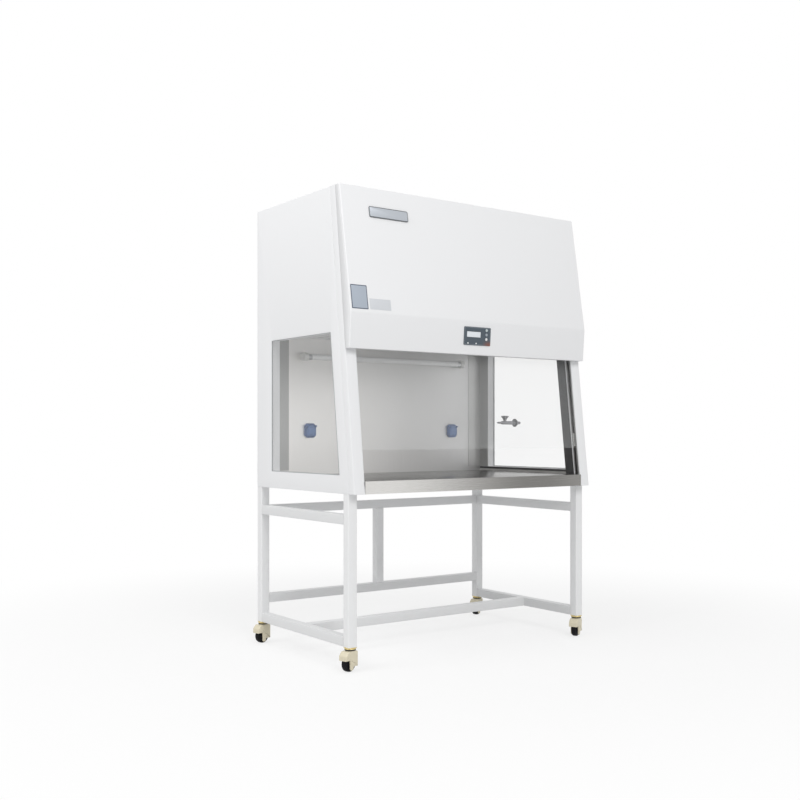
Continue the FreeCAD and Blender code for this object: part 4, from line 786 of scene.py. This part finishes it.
# %% The badge and the two stickers
badge = [(0.0, 0.0001), (0.0, 0.0034), (0.0006, 0.0042), (0.0016, 0.0046), (0.0026, 0.0045),
         (0.0034, 0.0038)]
BADGE_AT, LABEL_AT, PALE_AT = (-0.422, 1.844), (-0.604, 1.486), (-0.505, 1.461)
for name, size, levels, corner, at, finish, slot in (
        ("badge_plate", (0.194, 0.045), badge, 0.006, BADGE_AT, BADGE_RIM_AND_SHADOW, "anodised"),
        ("badge_field", (0.1876, 0.0386), levels_of(0.0041, 0.0003, 0.0036), 0.003, BADGE_AT,
         BADGE_FIELD, "anodised"),
        ("label_border", (0.078, 0.097), levels_of(0.0006, 0.0003, 0.0001), 0.003, LABEL_AT,
         LABEL_EDGE, "panel_slate"),
        ("label_field", (0.071, 0.090), levels_of(0.0008, 0.0002, 0.0003), 0.002, LABEL_AT,
         LABEL_FIELD, "display_white"),
        ("label_pale", (0.103, 0.044), levels_of(0.0005, 0.0002, 0.0001), 0.001, PALE_AT,
         LABEL_PALE, "display_white")):
    piece(name, [slab(block(*size), levels, corner, on_hood(*at))], finish)

# %% [markdown]
# ## Screen, pilot lamps and keys
#
# The panel leans with the hood's lower face, so its own frame leans too. Round parts are a
# profile of (radius, height) turned about an axis.

# %% The panel's frame, and turned shapes
PANEL_TILT = math.atan2(0.027 - SLOPE * (HOOD_FOLD - HOOD_LOW), HOOD_FOLD - HOOD_LOW)
PANEL_FOOT = float(lean(PANEL_Z) - hood_reach(PANEL_Z))


def on_panel(u0=0.0, v0=0.0):
    """V goes up the leaning face and W out of it, a being the panel's tilt:
    V = (0, -sin a, cos a) and W = (0, -cos a, -sin a)."""
    c, s = math.cos(PANEL_TILT), math.sin(PANEL_TILT)
    up = c * Z - s * Y
    return placed(np.array((u0, PANEL_FOOT, PANEL_Z)) + v0 * up, X, up, -c * Y - s * Z)


def turned(profile, place, count=40, ends="capped", lobes=0, depth=0.0):
    """A profile of (radius, height) turned about w: u = r cos t, v = r sin t, w = height.
    With lobes, r shrinks by depth (1 - cos(lobes t)) / 2 times the profile's third number."""
    t = np.linspace(0, 2 * math.pi, count, endpoint=False)[None, :]
    rows = np.array([row if len(row) == 3 else (*row, 0.0) for row in profile])[:, :, None]
    r = rows[:, 0] - depth * rows[:, 2] * (1 - np.cos(lobes * t)) / 2
    return loft(place(r * np.cos(t), r * np.sin(t), rows[:, 1] + 0 * t), ends)


# %% The screen, the two lamps and the three keys
piece("display_pane", [slab(block(0.0758, 0.0234), levels_of(0.0024, 0.0006, -0.004), 0.001,
                            on_panel(-0.020, 0.007))], SCREEN,
      stands_for=("panel_display",))
LENS_PROFILE = ((0.0032, -0.001), (0.0032, 0.0031), (0.0026, 0.0036), (0.0010, 0.0039))
piece("pilot_lenses", [turned(LENS_PROFILE, on_panel(u, -0.031), 24) for u in (-0.051, -0.006)],
      LENS)
KEY_PROFILE = ((0.0060, -0.0002), (0.0060, 0.0038), (0.0056, 0.0043), (0.0046, 0.0044),
               (0.0040, 0.0041), (0.0020, 0.0039))
for index, (v, body) in enumerate(((0.0276, "key_upper"), (0.0083, "key_middle"),
                                   (-0.0110, "key_lower"))):
    piece("key_cap_%d" % (index + 1), [turned(KEY_PROFILE, on_panel(0.050, v), 32)],
          KEY_FINISH[index], body=body, stands_for=("panel_key_%d" % (index + 1),))

# %% [markdown]
# ## The stainless table
#
# The work table is a folded sheet with a deep nose under the user's arms. The nose is one
# closed section with its own radius at every corner, carried across the front. The wide
# plate and the hem behind it are thin rounded strips.

# %% The table
def table():
    """Section (y, z) carried along x from end to end; the nose ends inside the pillars."""
    sheet, top, seam, foot = 0.0015, 0.755, -0.3546, -0.385
    nose_end, end, back, hem_foot = 0.5987, 0.6077, WALL_Y - 0.0003, 0.718
    section = [(seam, top), (FRONT_Y, top), (FRONT_Y, BASE_Z), (foot, BASE_Z),
               (foot, BASE_Z + sheet), (FRONT_Y + sheet, BASE_Z + sheet),
               (FRONT_Y + sheet, top - sheet), (seam, top - sheet)]
    radii = [0.0004, 0.0030, 0.0020, 0.0004, 0.0004, 0.0005, 0.0015, 0.0004]
    ring = rounded(section, radii, 5)
    nose = loft(np.stack([np.insert(ring, 0, x, axis=1) for x in (-nose_end, nose_end)]))
    plate = tube((-end, seam, top - sheet), (end, back, top), 0, 0.0005)
    hem = tube((-end, back - sheet, hem_foot), (end, back, top - sheet), 0, 0.0005)
    piece("table_sheet", [nose, plate, hem], TABLE_STEEL,
          stands_for=("work_table",))


table()

# %% [markdown]
# ## Painted shade on the side liners
#
# In front of each window a dark strip lies on the liner, and it runs on along the table as a
# skirting: a black sheet put where the liner shows shade and dark reflection, so painted
# shade. It is one L-shaped outline in (y, z), a millimetre thick, whose upright leg follows
# the slanted front.

# %% The painted shade strip
def painted_shade_strip(side, sign):
    """A slab in (y, z): the leg's edges are lean(z) plus a constant."""
    low, foot, sill, high = 0.7552, 0.7650, 0.7745, 1.3795
    near, far, back = 0.0305, WINDOW_SETBACK - 0.0015, WALL_Y - 0.001
    outline = [(lean(low) + near, low), (lean(low) + far, low), (lean(foot) + far, foot),
               (back, foot), (back, sill), (lean(sill) + far, sill),
               (lean(high) + far, high), (lean(high) + near, high)]
    piece("painted_shade_strip_" + side, [slab(outline, levels_of(0.001, 0.0003), 0.001,
                                      placed(sign * LINER_X * X, Y, Z, -sign * X))],
          SHADE_STRIP_BLACK)


on_both_sides(painted_shade_strip)

# %% [markdown]
# ## Corner angles
#
# Where wall and liner meet, an angle of steel covers the seam. It is one L-shaped
# section in (x, y) carried up the corner. As a piece of its own it can be darker than the
# sheets that it covers; that darker tone is painted shade in the corner.

# %% The corner angles
def corner_angle(side, sign):
    """Section (x, y) of two 1.5 mm legs, at two heights."""
    inner, wall, leg, run, sheet = LINER_X, WALL_Y, 0.080, 0.060, 0.0015
    section = np.array([(inner, wall), (inner - leg, wall), (inner - leg, wall - sheet),
                        (inner - sheet, wall - sheet), (inner - sheet, wall - run),
                        (inner, wall - run)]) - (0.0002, 0.0002)
    ring = rounded(section, 0.0006) * (sign, 1)
    stack = np.stack([np.insert(ring, 2, z, axis=1) for z in (0.7756, 1.3790)])
    piece("corner_angle_" + side, [loft(stack)], CORNER_SHADE_STEEL)


on_both_sides(corner_angle)

# %% [markdown]
# ## Tubes and their fittings
#
# Both discharge tubes end in aluminium ferrules with two pins, and the tube on the wall
# hangs in two white round holders. All are turned profiles; only the stems are slabs.

# %% Ferrules, pins and holders
WALL_TUBE, TUBE_END = (0.296, 1.293), 0.4465
LAMP, LAMP_END = (float(lean(1.380)) + 0.062, 1.360), 0.4500
fittings = []
for _, sign in SIDES:
    for reach, radius, (y, z) in ((TUBE_END, 0.0134, WALL_TUBE), (LAMP_END, 0.0084, LAMP)):
        place = along_x(sign * (reach - 0.0188), y, z, sign)
        fittings.append(turned(((radius - 0.0006, 0.0), (radius, 0.0008), (radius, 0.016),
                                (radius - 0.0004, 0.0185)), place, 32))
        fittings += [turned(((0.0011, 0.018), (0.0011, 0.0200)),
                            along_x(sign * (reach - 0.0188), y, z + rise, sign), 12)
                     for rise in (-radius * 0.4, radius * 0.4)]
piece("tube_ferrules", fittings, ANODISED)


def holder(sign):
    """A round cap over the tube's end, on a short rounded stem from the wall."""
    stem = placed((sign * (TUBE_END + 0.013), WALL_Y, WALL_TUBE[1]), X, Z, -Y)
    cap = ((0.0140, 0.0), (0.0185, 0.0), (0.0198, 0.0012), (0.0200, 0.0150), (0.0185, 0.0205),
           (0.0140, 0.0235), (0.0060, 0.0245))
    return [turned(cap, along_x(sign * TUBE_END, WALL_TUBE[0] + 0.004, WALL_TUBE[1], sign), 40),
            slab(block(0.020, 0.030), levels_of(0.0200, 0.002), 0.004, stem)]


piece("tube_holders", [part for _, sign in SIDES for part in holder(sign)], NYLON,
      stands_for=("uv_holders",))

# %% [markdown]
# ## Sockets with hinged lids
#
# Two blue mains outlets sit on the back wall. Each has a plate with clipped corners and a
# sprung lid, narrower at its hinge, whose domed middle stands in a shallow groove. Both are
# slabs; the lid rides on its own body, so that it still swings.

# %% The sockets
def socket(side, sign):
    """Plate, hinge ears and well as slabs from the wall; the lid as a slab of its own."""
    middle, height, w, h, clip = sign * 0.417, 0.957, 0.029, 0.033, 0.012
    plate = [(-w + clip, -h), (w - clip, -h), (w, -h + clip), (w, h - clip),
             (w - clip, h), (-w + clip, h), (-w, h - clip), (-w, -h + clip)]
    place = placed((middle, WALL_Y, height), X, Z, -Y)
    ears = [slab(block(0.0048, 0.008), levels_of(0.0183, 0.0012, 0.009), 0.0012,
                 placed((middle + way * 0.0263, WALL_Y, height + 0.021), X, Z, -Y))
            for way in (-1, 1)]
    box = tube((middle - 0.022, WALL_Y, height - 0.022),
               (middle + 0.022, WALL_Y + 0.035, height + 0.022), 1)
    piece("socket_plate_" + side, [slab(plate, levels_of(0.010, 0.0015, 0.0002), 0.003, place),
                                   *ears, box], SOCKET_PLATE,
          stands_for=("socket_base_" + side,))
    lid = [(0.0, 0.0103), (0.0, 0.0163), (0.0006, 0.0175), (0.0018, 0.0183), (0.0040, 0.0183),
           (0.0047, 0.0172), (0.0056, 0.0172), (0.0064, 0.0186), (0.0090, 0.0196),
           (0.0120, 0.0201)]
    tab = [(-0.0205, -0.025), (0.0205, -0.025), (0.0235, -0.008), (0.0235, 0.006),
           (0.0145, 0.0165), (0.0145, 0.0236), (-0.0145, 0.0236), (-0.0145, 0.0165),
           (-0.0235, 0.006), (-0.0235, -0.008)]
    piece("lid_shell_" + side, [slab(tab, lid, 0.0030, place)],
          SOCKET_LID, body=side + "_socket_lid",
          stands_for=("socket_lid_" + side,))


on_both_sides(socket)

# %% [markdown]
# ## The gas tap
#
# The tap comes through the right-hand window: a wall flange, a hexagon collar, a body and a
# ribbed hose nozzle on one axis, with an upright bonnet. It is turned metal, so one profile
# about the x axis draws it, ribs and all. Hexagons are the same loft with six sides.

# %% The tap's body
TAP_Y, TAP_Z, KNOB_X = 0.102, 0.997, 0.578
body_profile = (
    (0.0022, 0.549), (0.0022, 0.5290), (0.0030, 0.5290), (0.0044, 0.5330), (0.0036, 0.5334),
    (0.0050, 0.5380), (0.0040, 0.5384), (0.0054, 0.5430), (0.0044, 0.5434), (0.0044, 0.5510),
    (0.0070, 0.5545), (0.0086, 0.5580), (0.0090, 0.5640), (0.0090, 0.6270), (0.0096, 0.6290),
    (0.0116, 0.6306), (0.0120, 0.6320), (0.0120, 0.6395), (0.0124, 0.6408), (0.0190, 0.6412),
    (0.0205, 0.6420), (0.0205, 0.6442), (0.0198, 0.6450), (0.0070, 0.6450), (0.0070, 0.6762),
    (0.0062, 0.6770))
nut = rounded(np.array([(math.cos(a), math.sin(a)) for a in np.arange(6) * math.pi / 3])
              * 0.0126, 0.0008)
on_axis = along_x(0.0, TAP_Y, TAP_Z)
nut_rings = np.stack([on_axis(*(nut * share).T, 0 * nut[:, 0] + x) for x, share in (
    (0.6500, 0.93), (0.6508, 1.0), (0.6582, 1.0), (0.6590, 0.93))])
bonnet = turned(((0.0078, TAP_Z), (0.0078, 1.0092), (0.0070, 1.0100)), upright(KNOB_X, TAP_Y), 6)
piece("tap_shell", [turned(body_profile, on_axis, 48), loft(nut_rings),
                    bonnet], TAP, stands_for=("tap_body",))

# %% [markdown]
# ## The tap's knob
#
# The knob flares from a narrow neck to a cap with eight finger lobes. The lobes are one
# more term in the turned profile: the radius loses a share of 1 - cos 8t, fading in with
# height so that the neck stays round.

# %% The knob
knob = ((0.0090, 1.0104), (0.0088, 1.0118), (0.0094, 1.0140), (0.0118, 1.0185, 0.3),
        (0.0150, 1.0225, 0.7), (0.0180, 1.0250, 1.0), (0.0190, 1.0266, 1.0),
        (0.0190, 1.0292, 1.0), (0.0180, 1.0306, 0.9), (0.0160, 1.0313, 0.5),
        (0.0120, 1.0311, 0.1), (0.0050, 1.0306))
piece("knob_shell", [turned(knob, upright(KNOB_X, TAP_Y), 96, lobes=8, depth=0.0026)],
      TAP, body="gas_knob", stands_for=("tap_knob",), sharp=60)

# %% [markdown]
# ## Casters: the places of four
#
# The four casters are the same, turned to different headings, as wheels are found after a
# stand has been pushed. Each shape is worked out once, at the origin, and carried to its
# leg by a turn about z.

# %% Where the casters stand
CASTERS = (("front_left", -1, -0.338, 15), ("front_right", 1, -0.338, 26),
           ("back_left", -1, 0.378, 12), ("back_right", 1, 0.378, 20))
AXLE_X, AXLE_Z, PIN_X = -0.010, 0.0315, 0.630
ACROSS = placed((AXLE_X, 0, AXLE_Z), X, Z, Y)


def at_leg(part, side, y, heading):
    """Turns a part's points by its heading about z and moves them under its leg."""
    points, faces = part
    c, s = math.cos(math.radians(heading)), math.sin(math.radians(heading))
    turn = np.array([(c, s, 0), (-s, c, 0), (0, 0, 1)])
    return points @ turn + (side * PIN_X, y, 0), faces


# %% [markdown]
# ## Caster hoods
#
# The hood is a boxy cream moulding over the wheel: higher in front, where the wheel shows,
# lower behind, with a rounded tongue down each cheek for the axle. It is one closed loft
# across the wheel: outer cheek, inner cheek, the arch alone between them, and mirrored.

# %% The hood's two outlines
def along(path, count):
    """Points at equal steps along a polyline, by interpolating its running length."""
    path = np.asarray(path, float)
    run = np.concatenate([[0], np.cumsum(np.linalg.norm(np.diff(path, axis=0), axis=1))])
    steps = np.linspace(0, run[-1], count)
    return np.stack([np.interp(steps, run, path[:, k]) for k in (0, 1)], -1)


def hood_outlines(front=0.0150, rear=-0.0110, half=0.0345, tongue=0.0095, drop=0.0160,
                  wall=0.003, sharp=0.0002):
    """Both share the upper path, from the rear wall over the top to the front skirt. The
    cheek goes back along skirt, tongue and skirt; the arch goes back a wall inside. A last
    point below the skirt only closes the outline that is rounded."""
    close = (0.0, front - 0.02)
    outside = rounded([(half, front), (half, 0.0505), (-0.0210, 0.0505), (-half, 0.0340),
                       (-half, front), close], [sharp, 0.006, 0.010, 0.008, sharp, sharp])
    upper = along(outside[:25], 48)
    b = np.linspace(math.pi, 2 * math.pi, 17)
    round_end = np.stack([tongue * np.cos(b), -drop + tongue * np.sin(b)], -1)
    fillet = wall * np.array([(0.0, 1.0), (0.38, 0.92), (0.71, 0.71), (0.92, 0.38), (1.0, 0.0)])
    left = fillet + (-tongue - wall, front - wall)
    right = fillet[::-1] * (-1, 1) + (tongue + wall, rear - wall)
    lower = along(np.concatenate([[(-half, front)], left, round_end, right, [(half, rear)],
                                  [(half, front)]]), 96)[1:-1]
    inside = rounded([(-half + wall, front), (-half + wall, 0.0310), (-0.0190, 0.0450),
                      (half - wall, 0.0450), (half - wall, front), close],
                     [sharp, 0.008, 0.009, 0.005, sharp, sharp])
    under = along(np.concatenate([[(-half, front)], inside[:25], [(half, front)]]), 96)[1:-1]
    return np.concatenate([upper, lower]), np.concatenate([upper, under])


CHEEK, ARCH = hood_outlines()
print("cheek outline of", len(CHEEK), "points, height", round(float(np.ptp(CHEEK[:, 1])), 4))


# %% The hood's loft and its neck
def caster_hood(half=0.0205, wall=0.005, edge=0.003):
    """Rings across y: quarter-round rim, cheek, arch, and their mirror images. The neck is
    a turned boss with a shallow recess for the king pin."""
    turn = np.linspace(0, math.pi / 2, 5)
    rows = [(half - edge + edge * math.cos(a), inset(CHEEK, edge * (1 - math.sin(a))))
            for a in turn] + [(half - wall, CHEEK), (half - wall, ARCH)]
    rows += [(-y, ring) for y, ring in rows[::-1]]
    stack = np.stack([ACROSS(ring[:, 0], ring[:, 1], 0 * ring[:, 0] + y) for y, ring in rows])
    boss = ((0.0205, 0.0790), (0.0205, 0.0826), (0.0195, 0.0837), (0.0065, 0.0837),
            (0.0060, 0.0830))
    return loft(stack), turned(boss, upright(0, 0), 40)


FORK = caster_hood()
for corner, side, y, heading in CASTERS:
    piece("caster_hood_" + corner, [at_leg(part, side, y, heading) for part in FORK],
          CREAM, body="fork_" + corner,
          stands_for=("caster_fork_" + corner,), sharp=50)

# %% [markdown]
# ## Caster wheels and axles
#
# The wheel is a black tread with rounded shoulders on a stepped hub, bored for its axle: a
# closed profile turned about the axle. The axle and its domed caps ride with the hood.

# %% Wheels and axle ends
half_tread = ((0.00405, 0.0130), (0.0110, 0.0130), (0.0120, 0.0122), (0.0122, 0.0100),
              (0.0225, 0.0094), (0.0238, 0.0108), (0.0270, 0.0110), (0.0295, 0.0104),
              (0.0308, 0.0090), (0.0314, 0.0065), (0.0315, 0.0030))
tread = half_tread + tuple((r, -h) for r, h in half_tread[::-1])
WHEEL = turned(tread, ACROSS, 64, ends="joined")
AXLE_PIN = turned(((0.0040, -0.0206), (0.0040, 0.0206)), ACROSS, 24)
HEADS = [turned(((0.0072, sign * 0.0200), (0.0070, sign * 0.0209), (0.0055, sign * 0.0216),
                 (0.0020, sign * 0.0219)), ACROSS, 24) for _, sign in SIDES]
for corner, side, y, heading in CASTERS:
    piece("caster_tread_" + corner, [at_leg(WHEEL, side, y, heading)], TREAD,
          body="wheel_" + corner, stands_for=("caster_wheel_" + corner,), sharp=50)
    piece("caster_axle_" + corner, [at_leg(AXLE_PIN, side, y, heading)], AXLE,
          body="fork_" + corner)
    piece("caster_caps_" + corner, [at_leg(part, side, y, heading) for part in HEADS],
          CREAM, body="fork_" + corner)

# %% [markdown]
# ## Swivel races
#
# Between leg and hood sits a zinc-plated race: a square plate, a rolled cup and the gap of
# the ball track below the cup. The cup is a turned profile, the plate a thin slab with rounded
# corners, and the gap a separate black ring, which is painted shade in the gap.

# %% The races
cup = ((0.0170, 0.0886), (0.0222, 0.0886), (0.0232, 0.0892), (0.0235, 0.0904),
       (0.0230, 0.0918), (0.0214, 0.0930), (0.0170, 0.0932))
pin = ((0.0046, 0.0832), (0.0050, 0.0836), (0.0050, 0.0932))
RACE = [turned(cup, upright(0, 0), 40), turned(pin, upright(0, 0), 24),
        slab(block(0.040, 0.040), [(0.0006, 0.0928), (0.0, 0.0933), (0.0, 0.0955),
                                   (0.0005, 0.0960)], 0.003, upright(0, 0))]
TRACK_SHADE = turned(((0.0210, 0.0841), (0.0226, 0.0844), (0.0230, 0.0860), (0.0226, 0.0882),
                (0.0210, 0.0890)), upright(0, 0), 40)
piece("race_cups", [at_leg(part, side, y, 0) for _, side, y, _ in CASTERS for part in RACE],
      RACE_ZINC, stands_for=("caster_races",), sharp=50)
piece("race_gap_shade", [at_leg(TRACK_SHADE, side, y, 0) for _, side, y, _ in CASTERS],
      INLET)

# %% [markdown]
# ## The back of the cabinet
#
# The back casing is a shallow tray with rounded corners, and its appliance inlet sits high
# on the right. The tray is lofted like a plate, through levels that run over its edge, so
# that it meets the side casings with a narrow shadow line.

# %% The back tray
def back_tray(top=1.9442, front=0.385, width=1.2178):
    """Levels of (inset, depth) in (x, z), from the front rim over the rounded back edge."""
    levels = [(0.0, 0.0), (0.0, 0.0130), (0.0003, 0.0142), (0.0010, 0.0148), (0.0020, 0.0150)]
    return slab(block(width, top - BASE_Z), levels, 0.004,
                placed((0, front, (BASE_Z + top) / 2), X, Z, Y))


piece("back_tray", [back_tray()], COAT, stands_for=("back_panel",))

# %% [markdown]
# ## Floor
#
# A studio's seamless floor has no far edge. The floor is a polar grid, 40 m wide. Its own
# colour takes the object's shadow; towards the distance it is swapped for a plain white
# glow that only the camera, reflections and glass can see, so no light is added.

# %% The rays that only show the background
def background_rays(wire):
    """1 for camera, glossy and transmission rays, 0 for the rays that carry light."""
    path = wire.make("ShaderNodeLightPath").socket.node.outputs
    camera, glossy, through = (Wire(wire.tree, path[name]) for name in
                               ("Is Camera Ray", "Is Glossy Ray", "Is Transmission Ray"))
    return camera.most(glossy).most(through)


# %% The floor
def floor():
    """Polar grid: x = r cos t, y = r sin t, z = 0."""
    r = np.array([0.02, 1.0, 2.0, 3.0, 5.0, 8.0, 14.0, 40.0])[:, None]
    t = np.linspace(0, 2 * math.pi, 96, endpoint=False)[None, :]
    points, faces = loft(np.stack([r * np.cos(t), r * np.sin(t), 0 * r * t - 0.0005], -1))
    mesh = bpy.data.meshes.new("studio_floor")
    mesh.from_pydata(points.tolist(), [], faces[0].tolist() + faces[1].tolist())
    shape = bpy.data.objects.new("studio_floor", mesh)
    bpy.context.scene.collection.objects.link(shape)
    finish = Finish("studio_floor", Roughness=0.7, Specular_IOR_Level=0.0,
                    Emission_Strength=1.0)
    x, y, _ = finish.place.split()
    far = ((x * x + y * y) ** 0.5).step(1.0, 3.2)
    seen = background_rays(finish.start)
    tone = (1 - seen) * 0.8 + seen * (1 - far) * 0.24
    finish.feed("Base Color", tone.blend((0.0, 0.0, 0.0), (1.0, 1.0, 1.0)))
    glow = (0.73 + far * 0.27) * seen
    finish.feed("Emission Color", glow.blend((0.0, 0.0, 0.0), (1.0, 1.0, 1.0)))
    mesh.materials.append(finish.material)


floor()

# %% [markdown]
# ## Light
#
# The photograph is a bright catalogue picture: an even white surround, a little more light
# from the upper left. The world gives the even part, at a level where white paint doesn't
# clip; rays that only show the background see it at full white.

# %% World and lamps
AMBIENT = 0.52


def white_world():
    """Strength = ambient + (1 - ambient) times the background rays' mask."""
    world = bpy.data.worlds.new("white_studio")
    world.use_nodes = True
    back = world.node_tree.nodes["Background"]
    back.inputs["Color"].default_value = (1.0, 1.0, 1.0, 1.0)
    start = Wire(world.node_tree)
    strength = AMBIENT + background_rays(start) * (1.0 - AMBIENT)
    world.node_tree.links.new(strength.socket, back.inputs["Strength"])
    bpy.context.scene.world = world
    bpy.context.scene.view_settings.view_transform = "Standard"


def soft_light(name, place, target, size, power):
    """A square area light that looks at a point."""
    light = bpy.data.lights.new(name, "AREA")
    light.shape = "SQUARE"
    light.size = size
    light.energy = power
    lamp = bpy.data.objects.new(name, light)
    lamp.location = place
    lamp.rotation_euler = (Vector(target) - Vector(place)).to_track_quat("-Z", "Y").to_euler()
    bpy.context.scene.collection.objects.link(lamp)


white_world()
soft_light("left_softbox", (-5.0, 0.0, 5.0), (0, 0, 1.0), 3.0, 141)
soft_light("front_softbox", (-1.5, -7.5, 6.5), (0, 0, 1.1), 4.0, 314)

# %% [markdown]
# ## Camera
#
# The picture was taken level, from the front left, at the height of the table, with a
# normal lens shifted up a little. The place and the lens come from fitting the cabinet's
# known corners to the photograph.

# %% Camera
camera = bpy.data.cameras.new("camera")
camera.lens = 47.2
camera.sensor_width = 36.0
camera.shift_y = 0.0419
camera.clip_end = 200.0
tripod = bpy.data.objects.new("camera", camera)
tripod.location = (-2.9103, -3.8280, 0.9434)
tripod.rotation_euler = (math.radians(90), 0.0, math.radians(-35.88))
bpy.context.scene.collection.objects.link(tripod)
bpy.context.scene.camera = tripod
print("camera", camera.lens, "mm at", [round(v, 3) for v in tripod.location])
